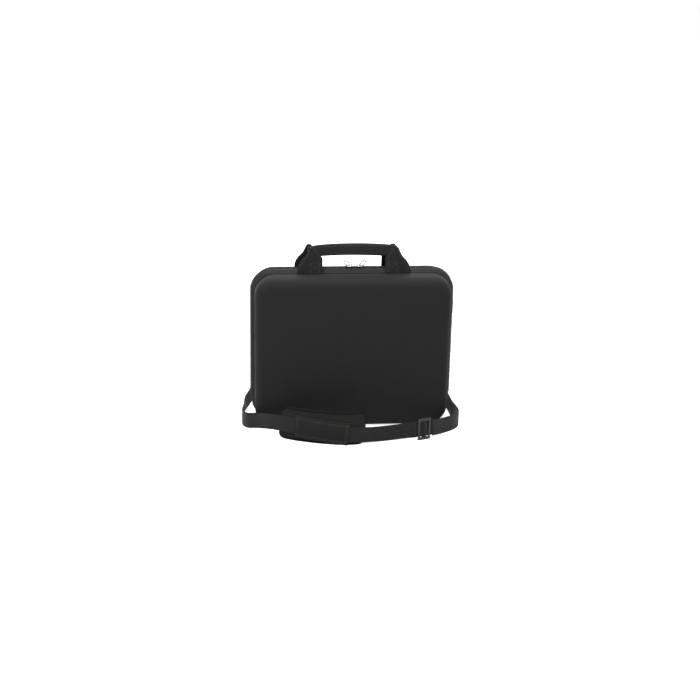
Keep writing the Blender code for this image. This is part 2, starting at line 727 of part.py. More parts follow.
def shoulder_strap():
    """One length of webbing: sewn round the left eye, along the route, through the adjuster,
    round the right eye and back along itself to the adjuster."""
    inward = WEBBING_THICK + GAP + 0.4 * MM
    main = []
    for distance, offset in strap_path():
        main.append(strap_place(distance, offset))
    left_turn, right_turn = eye_turn(-1), eye_turn(1)
    places = []
    tail = Vector((-RING_X, BOW_Y - HOOK_WIRE - GAP - WEBBING_THICK / 2, EYE_BAR_Z - 26 * MM))
    left = Vector((-1.0, 0.0, 0.0))
    places.append((tail, left, Vector((0, -1, 0))))
    for index, point in enumerate(left_turn[::-1]):
        angle = math.radians(180 - 180 * index / 6)
        places.append((point, left, Vector((0, math.cos(angle), math.sin(angle)))))
    places += main
    right = Vector((1.0, 0.0, 0.0))
    for index, point in enumerate(right_turn):
        angle = math.radians(180 * index / 6)
        places.append((point, right, Vector((0, math.cos(angle), math.sin(angle)))))
    for distance, _ in reversed(strap_path()):
        if distance < ADJUSTER_AT or distance > LENGTHS[-1] - 12 * MM:
            continue
        near = smoothstep(1 - (distance - ADJUSTER_AT - STRAIGHT_HALF) / (14 * MM))
        offset = inward + near * (ADJUSTER_BAR / 2 + WEBBING_THICK / 2 + GAP)
        point, across, normal = strap_place(distance, -offset)
        places.append((point, across, -normal))
    return places


# ---- shoulder strap pieces ----------------------------------------------------------------
def along_strap(distance_from_middle, middle, width, offset):
    """A point beside the strap: along it, up its width and out from the case."""
    point, across, normal, _ = frame_at(middle + distance_from_middle)
    return point + across * width + normal * offset


def pad_point(along, up, offset):
    """A point of the pad: it stands on the floor whatever the strap's height."""
    point, _, normal, _ = frame_at(PAD_MIDDLE + along)
    flat = Vector((normal.x, normal.y, 0.0)).normalized()
    place = point + flat * offset
    place.z = FLOOR_GAP + up
    return place


def shoulder_pad():
    """A crowned lozenge behind the strap, with drawn-in edges and rounded ends."""
    half, tall = PAD_LENGTH / 2, PAD_HEIGHT / 2
    front = -(WEBBING_THICK / 2 + GAP)
    rings = []
    for step in range(19):
        along = -math.cos(math.pi * step / 18) * 0.985
        height = tall * (1 - abs(along) ** 3.4) ** 0.5
        thick = PAD_THICK * (0.35 + 0.65 * (1 - abs(along) ** 6))
        ring = []
        for turn in range(20):
            angle = 2 * math.pi * turn / 20
            cos, sin = math.cos(angle), math.sin(angle)
            up = tall + height * math.copysign(abs(sin) ** 0.75, sin)
            depth = math.copysign(abs(cos) ** 0.6, cos)
            offset = front - thick / 2 + thick / 2 * depth
            ring.append(pad_point(along * half, up, offset))
        rings.append(ring)
    return loft("shoulder_pad", rings, WEB_NYLON)


def pad_sleeve():
    """The fabric panel on the pad that the strap slides under."""
    lift = WEBBING_THICK / 2 + GAP
    foot = -(WEBBING_THICK / 2) + 0.1 * MM
    half = SLEEVE_HEIGHT / 2
    inner_half = WEBBING / 2 + 2.4 * MM
    section = ((-half, foot), (-inner_half, lift), (inner_half, lift), (half, foot),
               (half, foot + SLEEVE_THICK), (inner_half + 0.3 * MM, lift + SLEEVE_THICK),
               (-inner_half - 0.3 * MM, lift + SLEEVE_THICK), (-half, foot + SLEEVE_THICK))
    rings = []
    for step in range(9):
        along = SLEEVE_LENGTH * (step / 8 - 0.5)
        rings.append([along_strap(along, PAD_MIDDLE, width, offset) for width, offset in section])
    return loft("pad_sleeve", rings, WEB_NYLON)


def strap_adjuster():
    """A flat frame with a middle bar: the strap goes behind, over the bar and behind again."""
    point, across, normal, tangent = adjuster_frame()
    place = Matrix((tangent, across, normal)).transposed().to_4x4()
    place.translation = point

    def plate(name, half_long, half_tall, half_thick, shift=0.0):
        return box_object(name, (shift - half_long, -half_tall, -half_thick),
                          (shift + half_long, half_tall, half_thick), PLASTIC)

    thick = ADJUSTER_BAR / 2
    frame = plate("strap_adjuster", ADJUSTER_LENGTH / 2, ADJUSTER_HEIGHT / 2, thick)
    slot = (ADJUSTER_LENGTH / 2 - ADJUSTER_RAIL - ADJUSTER_MIDDLE / 2) / 2
    inner_tall = ADJUSTER_HEIGHT / 2 - ADJUSTER_SIDE
    pieces = []
    for mirror in (-1, 1):
        middle = mirror * (ADJUSTER_MIDDLE / 2 + slot)
        pieces.append(plate(f"adjuster_slot_{mirror}", slot, inner_tall, 3 * thick, middle))
    frame_bevel = frame.modifiers.new("corners", "BEVEL")
    frame_bevel.width = ADJUSTER_EDGE
    frame_bevel.segments = 2
    frame_bevel.limit_method = "NONE"
    for piece in pieces:
        as_cutter(piece)
        boolean(frame, piece, "DIFFERENCE")
    for obj in [frame] + pieces:
        obj.matrix_world = place
    return frame


# ---- rings, loops and hooks ---------------------------------------------------------------
def ring_loop(name, side):
    """Webbing folded round the ring's bar and sewn to the rear shell."""
    radius = RING_WIRE + GAP
    outer = radius + LOOP_THICK
    back = LOOP_BACK_Y
    centre_y = back + outer
    ring_outer = [(centre_y - outer, RING_BAR_Z + LOOP_LENGTH)]
    ring_outer += [(centre_y + outer * math.cos(math.radians(180 + 22.5 * s)),
                    RING_BAR_Z + outer * math.sin(math.radians(180 + 22.5 * s))) for s in range(9)]
    ring_outer += [(centre_y + outer, RING_BAR_Z + 4 * MM), (back + 2 * LOOP_THICK + GAP, RING_BAR_Z + 9 * MM),
                   (back + 2 * LOOP_THICK + GAP, RING_BAR_Z + LOOP_LENGTH)]
    ring_inner = [(back + LOOP_THICK + GAP, RING_BAR_Z + LOOP_LENGTH),
                  (back + LOOP_THICK + GAP, RING_BAR_Z + 8 * MM), (centre_y + radius, RING_BAR_Z + 3 * MM)]
    ring_inner += [(centre_y + radius * math.cos(math.radians(-22.5 * s)),
                    RING_BAR_Z + radius * math.sin(math.radians(-22.5 * s))) for s in range(9)]
    ring_inner += [(back + LOOP_THICK, RING_BAR_Z + LOOP_LENGTH)]
    section = ring_outer + ring_inner
    x_low = side * RING_X - LOOP_WIDTH / 2
    rings = [[Vector((x, y, z)) for y, z in section] for x in (x_low, x_low + LOOP_WIDTH)]
    return loft(name, rings, WEB_NYLON)


def d_ring(name, side):
    """Straight bar in the webbing loop and a bow that hangs away from the case."""
    bar_y = RING_Y
    points = []
    shape = [(-RING_HALF_WIDTH, 0.0), (RING_HALF_WIDTH, 0.0)]
    for step in range(11):
        angle = math.radians(180 * step / 10)
        shape.append((RING_HALF_WIDTH * math.cos(angle),
                      4 * MM + (RING_DROP - 4 * MM) * math.sin(angle)))
    for across, down in shape:
        points.append((side * RING_X + across, bar_y + (BOW_Y - bar_y) * down / RING_DROP,
                       RING_BAR_Z - (RING_BAR_Z - BOW_Z) * down / RING_DROP))
    return wire(name, points, RING_WIRE, BLACK_METAL, cyclic=True, sides=2)


GATE_HIGH_Z = HOOK_TOP_Z - 6.5 * MM
GATE_LOW_Z = HOOK_LOW_Z + 6.5 * MM


def hook_body(name, side):
    """A hook in the Y-Z plane, open on its far side where the gate closes it, on a swivel stem."""
    x = side * RING_X
    points = []
    half = HOOK_HALF_WIDTH
    for step in range(5):
        angle = math.radians(-90 + 90 * step / 4)
        points.append((x, BOW_Y + half * math.cos(angle) * 1.0, HOOK_LOW_Z + half + half * math.sin(angle)))
    points = [point for point in points if point[2] < GATE_LOW_Z]
    low_side = [(x, BOW_Y - half * math.sin(math.radians(90 * s / 4)),
                 HOOK_LOW_Z + half - half * math.cos(math.radians(90 * s / 4))) for s in range(5)]
    top_side = [(x, BOW_Y - half * math.cos(math.radians(180 * s / 8)),
                 HOOK_TOP_Z - half + half * math.sin(math.radians(180 * s / 8))) for s in range(9)]
    path = points[::-1] + low_side[1:] + top_side
    path.append((x, BOW_Y + half, GATE_HIGH_Z + 0.3 * MM))
    body = wire(name, path, HOOK_WIRE, BRIGHT_METAL, sides=2)
    stem = cylinder(name + "_stem", (x, BOW_Y, HOOK_LOW_Z - SWIVEL_LENGTH - 0.1 * MM),
                    (x, BOW_Y, HOOK_LOW_Z + 1 * MM), SWIVEL_RADIUS, BRIGHT_METAL, 12)
    as_cutter(stem)
    return boolean(body, stem)


def hook_gate(name, side):
    x = side * RING_X
    y = BOW_Y + HOOK_HALF_WIDTH
    return cylinder(name, (x, y, GATE_LOW_Z + 2.2 * MM), (x, y, GATE_HIGH_Z - 0.2 * MM),
                    HOOK_WIRE * 0.8, BRIGHT_METAL, 10)


def hook_eye(name, side):
    """The flat ring under the swivel that the webbing is sewn round."""
    x = side * RING_X
    half = WEBBING / 2 + HOOK_WIRE + 1.0 * MM
    points = [(x - half, BOW_Y, EYE_BAR_Z), (x + half, BOW_Y, EYE_BAR_Z),
              (x + half, BOW_Y, EYE_TOP_Z - 5 * MM), (x + half * 0.6, BOW_Y, EYE_TOP_Z - HOOK_WIRE),
              (x - half * 0.6, BOW_Y, EYE_TOP_Z - HOOK_WIRE), (x - half, BOW_Y, EYE_TOP_Z - 5 * MM)]
    return wire(name, points, HOOK_WIRE, BRIGHT_METAL, cyclic=True, sides=2)


# ---- label --------------------------------------------------------------------------------
def label_tab():
    """A folded, bare tab sewn in the right-hand front seam."""
    y = -(RIM_Y + 0.2 * MM)
    x = SHELL_HALF_WIDTH + GAP
    return box_object("label_tab", (x, y - LABEL_THICK, LABEL_Z),
                      (x + LABEL_REACH, y, LABEL_Z + LABEL_LENGTH), LABEL)


# ---- build --------------------------------------------------------------------------------
def build():
    for half_name, side in (("front", -1), ("rear", 1)):
        shell(f"{half_name}_shell", side)
        seam_binding(f"{half_name}_seam_binding", side)
        zip_tape(f"{half_name}_zip_tape", side)
        zip_chain(f"{half_name}_zip_chain", side)
        foam_floor(f"{half_name}_foam_floor", side)
        grid = FRONT_POCKETS if side < 0 else REAR_POCKETS
        for hand, half_side in (("left", -1), ("right", 1)):
            half_tray(f"{half_name}_tray_{hand}", side, half_side, grid)
        handle(f"{half_name}_handle", side, HANDLE_SHIFT[half_name])
    hinge_fabric()
    divider_pad()
    label_tab()
    for hand, side in (("left", -1), ("right", 1)):
        x = SLIDER_SHIFT + side * SLIDER_APART / 2
        slider(f"zip_slider_{hand}", x)
        pull(f"zip_pull_{hand}", x, side)
        ring_loop(f"ring_loop_{hand}", side)
        d_ring(f"d_ring_{hand}", side)
        hook_body(f"hook_body_{hand}", side)
        hook_gate(f"hook_gate_{hand}", side)
        hook_eye(f"hook_eye_{hand}", side)
    loft("shoulder_strap", ribbon_rings(shoulder_strap(), WEBBING, WEBBING_THICK), WEB_NYLON)
    shoulder_pad()
    pad_sleeve()
    strap_adjuster()


build()
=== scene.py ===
"""Looks of a miniature carry case: moulded cloth shells, zip, webbing handles, foam and shoulder strap.

Lengths are in metres. +X runs along the case, -Y is its front and +Z is up.
"""
import math

import bmesh
import bpy
import numpy as np
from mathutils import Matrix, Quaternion, Vector


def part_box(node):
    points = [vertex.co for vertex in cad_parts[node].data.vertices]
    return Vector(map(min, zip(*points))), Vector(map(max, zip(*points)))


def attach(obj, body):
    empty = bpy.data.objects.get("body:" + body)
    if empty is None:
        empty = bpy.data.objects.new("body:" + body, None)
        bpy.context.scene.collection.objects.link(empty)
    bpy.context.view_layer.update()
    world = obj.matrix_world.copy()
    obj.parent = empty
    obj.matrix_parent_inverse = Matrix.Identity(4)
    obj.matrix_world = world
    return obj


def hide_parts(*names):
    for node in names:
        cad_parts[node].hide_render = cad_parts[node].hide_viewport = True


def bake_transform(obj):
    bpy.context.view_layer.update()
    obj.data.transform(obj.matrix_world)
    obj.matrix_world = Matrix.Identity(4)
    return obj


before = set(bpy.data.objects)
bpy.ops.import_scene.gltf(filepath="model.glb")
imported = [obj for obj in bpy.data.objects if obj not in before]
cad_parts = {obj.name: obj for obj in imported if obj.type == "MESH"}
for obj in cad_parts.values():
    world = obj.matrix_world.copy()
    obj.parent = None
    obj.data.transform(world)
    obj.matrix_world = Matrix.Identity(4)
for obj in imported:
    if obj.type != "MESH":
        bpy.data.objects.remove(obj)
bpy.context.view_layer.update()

bl_info = {
    "name": "Miniature Carry Case",
    "version": (1, 0, 0),
    "blender": (4, 5, 0),
    "location": "3D View > Sidebar > Carry Case",
    "description": "Builds the cloth, zip, foam, webbing and metalwork of a carry case for miniatures",
    "category": "Object",
}

MM = 0.001
GAP = 0.3 * MM
HANDS = (("left", -1), ("right", 1))
HALVES = (("front", -1), ("rear", 1))

# ---- the case's own sizes ------------------------------------------------------------------
HALF_WIDTH, HEIGHT, DEPTH = 191 * MM, 308 * MM, 38 * MM
CORNER, FACE_RADIUS, CROWN = 38 * MM, 19 * MM, 1.5 * MM
WALL, RIM_Y, RIM_ROLL = 4.5 * MM, 14 * MM, 3 * MM
RIDGE, ZIP_FADE, ZIP_SINK = 8 * MM, 62 * MM, 2.2 * MM
ZIP_END_X = HALF_WIDTH - CORNER - 3 * MM
TAPE, CHAIN_GAP = 1.2 * MM, 1.1 * MM
TAPE_CURVE = 2.1  # power of the tape's rise from the rim to the crest
TAB_WIDTH, TAB_TOP, TAB_SPACING, TAB_THICK = 49 * MM, 52 * MM, 170 * MM, 1.8 * MM
GRIP_HEIGHT, GRIP_THICK, GRIP_LOW, GRIP_CROWN, GRIP_HALF = 23 * MM, 8 * MM, 34 * MM, 4 * MM, 84 * MM
HANDLE_Y, HANDLE_LEAN = RIM_Y + 3.4 * MM, math.radians(6)
REAR_GRIP_DROP = 6 * MM
HANDLE_SHIFT = {"front": 1 * MM, "rear": -3 * MM}
WEBBING, WEBBING_THICK = 32 * MM, 1.6 * MM
PAD_LENGTH, PAD_HEIGHT, PAD_THICK, PAD_CORNER = 176 * MM, 68 * MM, 9 * MM, 15 * MM
SLEEVE_LENGTH, SLEEVE_HEIGHT, SLEEVE_THICK = 107 * MM, 46 * MM, 1.2 * MM
ADJUSTER_LENGTH, ADJUSTER_BAR, ADJUSTER_RAIL = 27 * MM, 3 * MM, 4.5 * MM
RING_X, RING_BAR_Z, RING_WIRE, RING_HALF, RING_DROP = 150 * MM, 262 * MM, 1.75 * MM, 16 * MM, 24 * MM
HOOK_WIRE, HOOK_HALF, HOOK_LENGTH = 1.75 * MM, 5.2 * MM, 25 * MM
SWIVEL_RADIUS, SWIVEL_LENGTH, EYE_HEIGHT = 3.2 * MM, 6 * MM, 12 * MM
LOOP_THICK = 1.4 * MM
SLIDER_PLATE, SLIDER_LIFT, SLIDER_BASE = 1.5 * MM, 2.2 * MM, 3.3 * MM
SLIDER_LOW = HEIGHT + RIDGE + GAP + SLIDER_LIFT
BAIL_WIRE, BAIL_INSET = 0.9 * MM, 2 * MM
PULL_WIRE, PULL_HALF, PULL_LENGTH, PULL_FOOT = 1.3 * MM, 4.25 * MM, 12 * MM, 2.4 * MM
PULL_AXIS = SLIDER_LOW + SLIDER_PLATE + 1 * MM + GAP
PULL_LEAN, PULL_TWIST = math.radians(55), math.radians(42)
SLIDER_NOSE = 0.16  # how much wider a slider is at its nose than at its middle
RING_LEAN = math.radians(20)
PAD_END, PIPING = 0.985, 1.4 * MM  # share of the pad's half length, radius of its cord

RING_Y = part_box("d_ring_left")[0].y + RING_WIRE
BOW_Y = RING_Y + RING_DROP * math.sin(RING_LEAN)
BOW_Z = RING_BAR_Z - RING_DROP * math.cos(RING_LEAN)
HOOK_TOP_Z = BOW_Z + RING_WIRE + GAP + HOOK_WIRE
HOOK_LOW_Z = HOOK_TOP_Z - HOOK_LENGTH
EYE_TOP_Z = HOOK_LOW_Z - SWIVEL_LENGTH - 0.6 * MM
EYE_BAR_Z = EYE_TOP_Z - EYE_HEIGHT

# The strap's middle line on the floor, left to right, and up behind the case, in millimetres.
FRONT_ROUTE = ((-209, 40, 16.3), (-212, 5, 16.3), (-216, -25, 16.3), (-207, -46, 17.5), (-186, -62, 23),
               (-160, -86, 30), (-130, -107, 32.5), (-98, -121, 31), (-66, -131, 28.5), (-34, -138, 25.5),
               (-2, -139, 22), (30, -130, 18.5), (62, -122, 17.2), (94, -119, 19.6), (126, -120, 22.8),
               (152, -109, 20.6), (176, -91, 17.4), (200, -72, 16.3), (213, -52, 16.3), (213, -30, 16.3),
               (208, 0, 16.3), (206, 35, 16.3))
BACK_ROUTE = ((200, 64, 20), (186, 86, 33), (171, 94, 58), (160, 92, 90), (153, 83, 125), (150.5, 75, 155))
ROUTE_STEPS = 9
HANG_LEVELS = (120 * MM, 165 * MM)
BEHIND_Y, PAD_START_X = 50 * MM, -66.01 * MM


# ---- settings a user would change ----------------------------------------------------------
def length_of(name, description, value, least):
    """A length that a user can change."""
    return bpy.props.FloatProperty(name=name, description=description, default=value, min=least,
                                   unit="LENGTH", precision=5)


def colour_of(name, description, *value):
    """A colour that a user can change."""
    return bpy.props.FloatVectorProperty(name=name, description=description, subtype="COLOR", size=3,
                                         default=value, min=0, max=1)


class CarryCaseSizes(bpy.types.PropertyGroup):
    """Sizes of the fine work"""
    cloth_pitch: length_of("Cloth Pitch", "Distance between yarns of the shell cloth", 0.55 * MM, 0.1 * MM)
    web_pitch: length_of("Webbing Pitch", "Distance between ribs of the webbing", 1.3 * MM, 0.3 * MM)
    coil_pitch: length_of("Coil Pitch", "Distance between turns of the zip's coil", 2.4 * MM, 1 * MM)
    stitch_pitch: length_of("Stitch Pitch", "Distance between stitches", 3.2 * MM, 1 * MM)
    stitch_width: length_of("Stitch Width", "Thickness of the sewing thread", 0.7 * MM, 0.1 * MM)


class CarryCaseColours(bpy.types.PropertyGroup):
    """Base colours of the finishes"""
    cloth: colour_of("Shell Cloth", "Colour of the moulded shells", 0.0098, 0.0095, 0.0102)
    tape: colour_of("Zip Tape", "Colour of the knitted tape", 0.017, 0.0145, 0.0155)
    webbing: colour_of("Webbing", "Colour of the handles", 0.0075, 0.0075, 0.0072)
    strap: colour_of("Strap", "Colour of the shoulder strap and its pad", 0.0090, 0.0092, 0.0086)
    foam: colour_of("Foam", "Colour of the trays", 0.035, 0.035, 0.037)
    metal: colour_of("Bright Metal", "Colour of sliders, pulls and hooks", 0.30, 0.27, 0.25)
    plastic: colour_of("Plastic", "Colour of the adjuster and the coil", 0.0065, 0.0065, 0.0068)


# ---- mesh work -----------------------------------------------------------------------------
def finished(name, mesh, mat, body, stands_for=(), sharp=40, closed=True):
    """Links a mesh as a smooth piece with its material, riding on a body when one is given."""
    mesh.name = name
    piece = bpy.data.objects.new(name, mesh)
    bpy.context.scene.collection.objects.link(piece)
    mesh.materials.append(mat)
    if closed:
        bm = bmesh.new()
        bm.from_mesh(mesh)
        bmesh.ops.recalc_face_normals(bm, faces=bm.faces)
        bm.to_mesh(mesh)
        bm.free()
    mesh.shade_smooth()
    mesh.set_sharp_from_angle(angle=math.radians(sharp))
    if body:
        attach(piece, body)
    if stands_for:
        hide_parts(*stands_for)
    return piece


def grid_mesh(points, uv, around=False, along=False, caps=(), flip=False):
    """Quads over a grid of points (rows, columns, 3). UV runs one past a wrapped edge, in metres."""
    rows, columns = points.shape[:2]
    i, j = np.meshgrid(np.arange(rows - (not along)), np.arange(columns - (not around)), indexing="ij")
    i, j = i.ravel(), j.ravel()
    corners = [(i, j), (i, j + 1), (i + 1, j + 1), (i + 1, j)]
    if flip:
        corners = corners[::-1]
    quads = np.stack([(a % rows) * columns + b % columns for a, b in corners], 1)
    places = np.stack([uv[np.minimum(a, uv.shape[0] - 1), np.minimum(b, uv.shape[1] - 1)]
                       for a, b in corners], 1).reshape(-1, 2)
    faces = quads.tolist()
    for row in caps:
        order = np.arange(columns) if row == 0 else (rows - 1) * columns + np.arange(columns)[::-1]
        faces.append((order[::-1] if flip else order).tolist())
        places = np.concatenate([places, np.zeros((columns, 2)) + places[0]])
    mesh = bpy.data.meshes.new("piece")
    mesh.from_pydata(points.reshape(-1, 3), [], faces)
    layer = mesh.uv_layers.new(name="cloth")
    layer.data.foreach_set("uv", places.astype(np.float32).ravel())
    return mesh


def flat_grid(rows, columns):
    """UV of a grid whose rows and columns have these places."""
    return np.stack(np.meshgrid(rows, columns, indexing="ij"), -1)


def ringed(points, uv):
    """A closed piece: sections wrapped round, capped at both ends."""
    return grid_mesh(points, uv, around=True, caps=(0, -1))


def copies_mesh(shape, faces, places, bases):
    """One small shape repeated: each copy's points are place + shape @ basis, all in one mesh."""
    points = places[:, None, :] + np.einsum("vk,tkj->tvj", shape, bases)
    offsets = np.arange(len(places)) * len(shape)
    quads = (np.asarray(faces)[None, :, :] + offsets[:, None, None]).reshape(-1, len(faces[0]))
    mesh = bpy.data.meshes.new("piece")
    mesh.from_pydata(points.reshape(-1, 3), [], quads.tolist())
    return mesh


def spread(*parts):
    """Coordinates broadcast against each other and stacked as points."""
    return np.stack(np.broadcast_arrays(*parts), -1)


def full_turn(steps):
    """Angles round a circle, without the last one."""
    return np.linspace(0, 2 * np.pi, steps, endpoint=False)


def bulge(wave, power):
    """A sine or cosine drawn to a power with its sign kept, as in a superellipse."""
    return np.sign(wave) * np.abs(wave) ** power


def smooth(share):
    """A smooth step from 0 to 1: 3 t^2 - 2 t^3."""
    return share ** 2 * (3 - 2 * share)


def unit(vectors):
    """Vectors divided by their own lengths."""
    return vectors / np.maximum(np.linalg.norm(vectors, axis=-1, keepdims=True), 1e-12)


def run_lengths(path, closed=False):
    """Distance along a path at each of its points."""
    ends = np.roll(path, -1, axis=0) if closed else path[1:]
    steps = np.linalg.norm(ends - path[:len(ends)], axis=1)
    return np.concatenate([[0.0], np.cumsum(steps)])


def between(places, run, values):
    """Rows of values, known at distances along a run, read at places between them."""
    return np.stack([np.interp(places, run, column) for column in values.T], 1)


def tangents(path, closed=False):
    """Central differences along a path, made unit long."""
    if closed:
        return unit(np.roll(path, -1, axis=0) - np.roll(path, 1, axis=0))
    return unit(np.gradient(path, axis=0))


def spline(points, steps, closed=False):
    """Catmull-Rom curve: each span is a cubic of its two ends and their two neighbours."""
    points = np.asarray(points, float)
    if closed:
        before, start, end, after = (np.roll(points, shift, axis=0) for shift in (1, 0, -1, -2))
    else:
        padded = np.concatenate([points[:1], points, points[-1:]])
        before, start, end, after = padded[:-3], padded[1:-2], padded[2:-1], padded[3:]
    t = (np.arange(steps) / steps)[None, :, None]
    before, start, end, after = (a[:, None, :] for a in (before, start, end, after))
    curve = 0.5 * (2 * start + (end - before) * t + (2 * before - 5 * start + 4 * end - after) * t ** 2
                   + (3 * start + after - before - 3 * end) * t ** 3)
    curve = curve.reshape(-1, points.shape[1])
    return curve if closed else np.concatenate([curve, points[-1:]])


def tube_mesh(path, radius, plane, closed=False, sides=14):
    """A circle of the radius carried along a path. It lies in the plane vector and its cross
    product with the path's direction."""
    path = np.asarray(path, float)
    ahead = tangents(path, closed)
    first = unit(np.broadcast_to(plane, path.shape) - ahead * np.sum(ahead * plane, axis=1, keepdims=True))
    second = np.cross(ahead, first)
    turn = np.arange(sides) * 2 * np.pi / sides
    radius = np.broadcast_to(radius, len(path))[:, None, None]
    points = path[:, None] + radius * (np.cos(turn)[:, None] * first[:, None]
                                       + np.sin(turn)[:, None] * second[:, None])
    uv = flat_grid(run_lengths(path, closed), np.arange(sides + 1) * radius.mean() * 2 * np.pi / sides)
    return grid_mesh(points, uv, around=True, along=closed, caps=() if closed else (0, -1))


STITCH_SHAPE = np.array([(-0.5, 0, 0), (-0.28, -0.5, 0.1), (-0.28, 0, 0.6), (-0.28, 0.5, 0.1),
                         (0.28, -0.5, 0.1), (0.28, 0, 0.6), (0.28, 0.5, 0.1), (0.5, 0, 0),
                         (-0.28, 0, -0.3), (0.28, 0, -0.3)])
STITCH_FACES = [(0, 1, 2, 2), (0, 2, 3, 3), (0, 3, 8, 8), (0, 8, 1, 1), (1, 4, 5, 2), (2, 5, 6, 3),
                (3, 6, 9, 8), (8, 9, 4, 1), (7, 5, 4, 4), (7, 6, 5, 5), (7, 9, 6, 6), (7, 4, 9, 9)]


def stitches(context, name, lines, body):
    """Rows of stitches: small spindles laid end to end along each line. A line is a path and
    the outward direction at its points."""
    sizes = context.scene.carry_case_sizes
    places, bases = [], []
    for path, out in lines:
        path = np.asarray(path, float)
        run = run_lengths(path)
        middles = np.arange(sizes.stitch_pitch / 2, run[-1], sizes.stitch_pitch)
        point = between(middles, run, path)
        up = unit(between(middles, run, np.broadcast_to(out, path.shape)))
        ahead = unit(between(middles, run, tangents(path)))
        across = np.cross(up, ahead)
        places.append(point)
        bases.append(np.stack([ahead * sizes.stitch_pitch * 0.86, across * sizes.stitch_width,
                               up * sizes.stitch_width * 0.7], 1))
    mesh = copies_mesh(STITCH_SHAPE, STITCH_FACES, np.concatenate(places), np.concatenate(bases))
    bm = bmesh.new()
    bm.from_mesh(mesh)
    bmesh.ops.dissolve_degenerate(bm, dist=1e-8, edges=bm.edges)
    bm.to_mesh(mesh)
    bm.free()
    return finished(name, mesh, finish(context, "sewing_thread"), body, sharp=80)


def softened_copy(node, name, width, mat, body):
    """A merged copy of a CAD node with its flat faces joined and its edges rounded."""
    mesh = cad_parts[node].data.copy()
    mesh.materials.clear()
    bm = bmesh.new()
    bm.from_mesh(mesh)
    bmesh.ops.remove_doubles(bm, verts=bm.verts, dist=0.01 * MM)
    bmesh.ops.dissolve_limit(bm, angle_limit=math.radians(1), verts=bm.verts, edges=bm.edges)
    bm.to_mesh(mesh)
    bm.free()
    piece = finished(name, mesh, mat, body, (node,), sharp=60)
    edge = piece.modifiers.new("soft edges", "BEVEL")
    edge.width = width
    edge.segments = 2
    edge.limit_method = "ANGLE"
    edge.angle_limit = math.radians(35)
    return piece


# ---- finishes ------------------------------------------------------------------------------
def new_group(name, inputs, outputs):
    """An empty node group with its sockets, and its two end nodes."""
    tree = bpy.data.node_groups.new(name, "ShaderNodeTree")
    for label, kind, value in inputs:
        socket = tree.interface.new_socket(name=label, in_out="INPUT", socket_type=kind)
        if value is not None:
            socket.default_value = value
    for label, kind in outputs:
        tree.interface.new_socket(name=label, in_out="OUTPUT", socket_type=kind)
    return tree, tree.nodes.new("NodeGroupInput"), tree.nodes.new("NodeGroupOutput")


def maths(tree, operation, first, second=None):
    """A Math node on sockets or plain numbers, and its result."""
    made = tree.nodes.new("ShaderNodeMath")
    made.operation = operation
    for socket, value in zip(made.inputs, (first, second)):
        if isinstance(value, bpy.types.NodeSocket):
            tree.links.new(value, socket)
        elif value is not None:
            socket.default_value = value
    return made.outputs[0]


def weave_group():
    """Plain weave: two sets of humps, |sin(pi x / pitch)| and |sin(pi y / pitch)|. The sign of
    their product says which yarn lies on top, as on a chessboard."""
    if "woven yarns" in bpy.data.node_groups:
        return bpy.data.node_groups["woven yarns"]
    tree, given, result = new_group("woven yarns", [("Vector", "NodeSocketVector", None),
                                                    ("Warp", "NodeSocketFloat", 0.001),
                                                    ("Weft", "NodeSocketFloat", 0.001)],
                                    [("Height", "NodeSocketFloat")])
    split = tree.nodes.new("ShaderNodeSeparateXYZ")
    tree.links.new(given.outputs["Vector"], split.inputs[0])
    waves = []
    for axis, pitch in (("X", "Warp"), ("Y", "Weft")):
        turns = maths(tree, "DIVIDE", split.outputs[axis], given.outputs[pitch])
        waves.append(maths(tree, "SINE", maths(tree, "MULTIPLY", turns, math.pi)))
    humps = [maths(tree, "POWER", maths(tree, "ABSOLUTE", wave), 0.6) for wave in waves]
    bows = [maths(tree, "ADD", maths(tree, "MULTIPLY", maths(tree, "ABSOLUTE", wave), 0.3), 0.7)
            for wave in waves]
    warp_over = maths(tree, "GREATER_THAN", maths(tree, "MULTIPLY", waves[0], waves[1]), 0.0)
    warp = maths(tree, "MULTIPLY", maths(tree, "MULTIPLY", humps[0], bows[1]), warp_over)
    weft = maths(tree, "MULTIPLY", maths(tree, "MULTIPLY", humps[1], bows[0]),
                 maths(tree, "SUBTRACT", 1.0, warp_over))
    tree.links.new(maths(tree, "ADD", warp, weft), result.inputs["Height"])
    return tree


def wear_group():
    """Handling marks: a coarse and a fine noise of Object coordinates, added."""
    if "handling marks" in bpy.data.node_groups:
        return bpy.data.node_groups["handling marks"]
    tree, given, result = new_group("handling marks", [("Vector", "NodeSocketVector", None),
                                                       ("Scale", "NodeSocketFloat", 14.0)],
                                    [("Mask", "NodeSocketFloat"), ("Grain", "NodeSocketFloat")])
    values = []
    for factor, detail in ((1.0, 3.0), (38.0, 2.0)):
        noise = tree.nodes.new("ShaderNodeTexNoise")
        noise.inputs["Detail"].default_value = detail
        tree.links.new(given.outputs["Vector"], noise.inputs["Vector"])
        tree.links.new(maths(tree, "MULTIPLY", given.outputs["Scale"], factor), noise.inputs["Scale"])
        values.append(noise.outputs["Fac"])
    mask = maths(tree, "ADD", maths(tree, "MULTIPLY", values[0], 0.75),
                 maths(tree, "MULTIPLY", values[1], 0.25))
    tree.links.new(mask, result.inputs["Mask"])
    tree.links.new(values[1], result.inputs["Grain"])
    return tree


def placed_group(tree, group, vector, **values):
    """A node group put into a tree and fed by a vector and plain numbers."""
    made = tree.nodes.new("ShaderNodeGroup")
    made.node_tree = group
    tree.links.new(vector, made.inputs["Vector"])
    for label, value in values.items():
        made.inputs[label].default_value = value
    return made


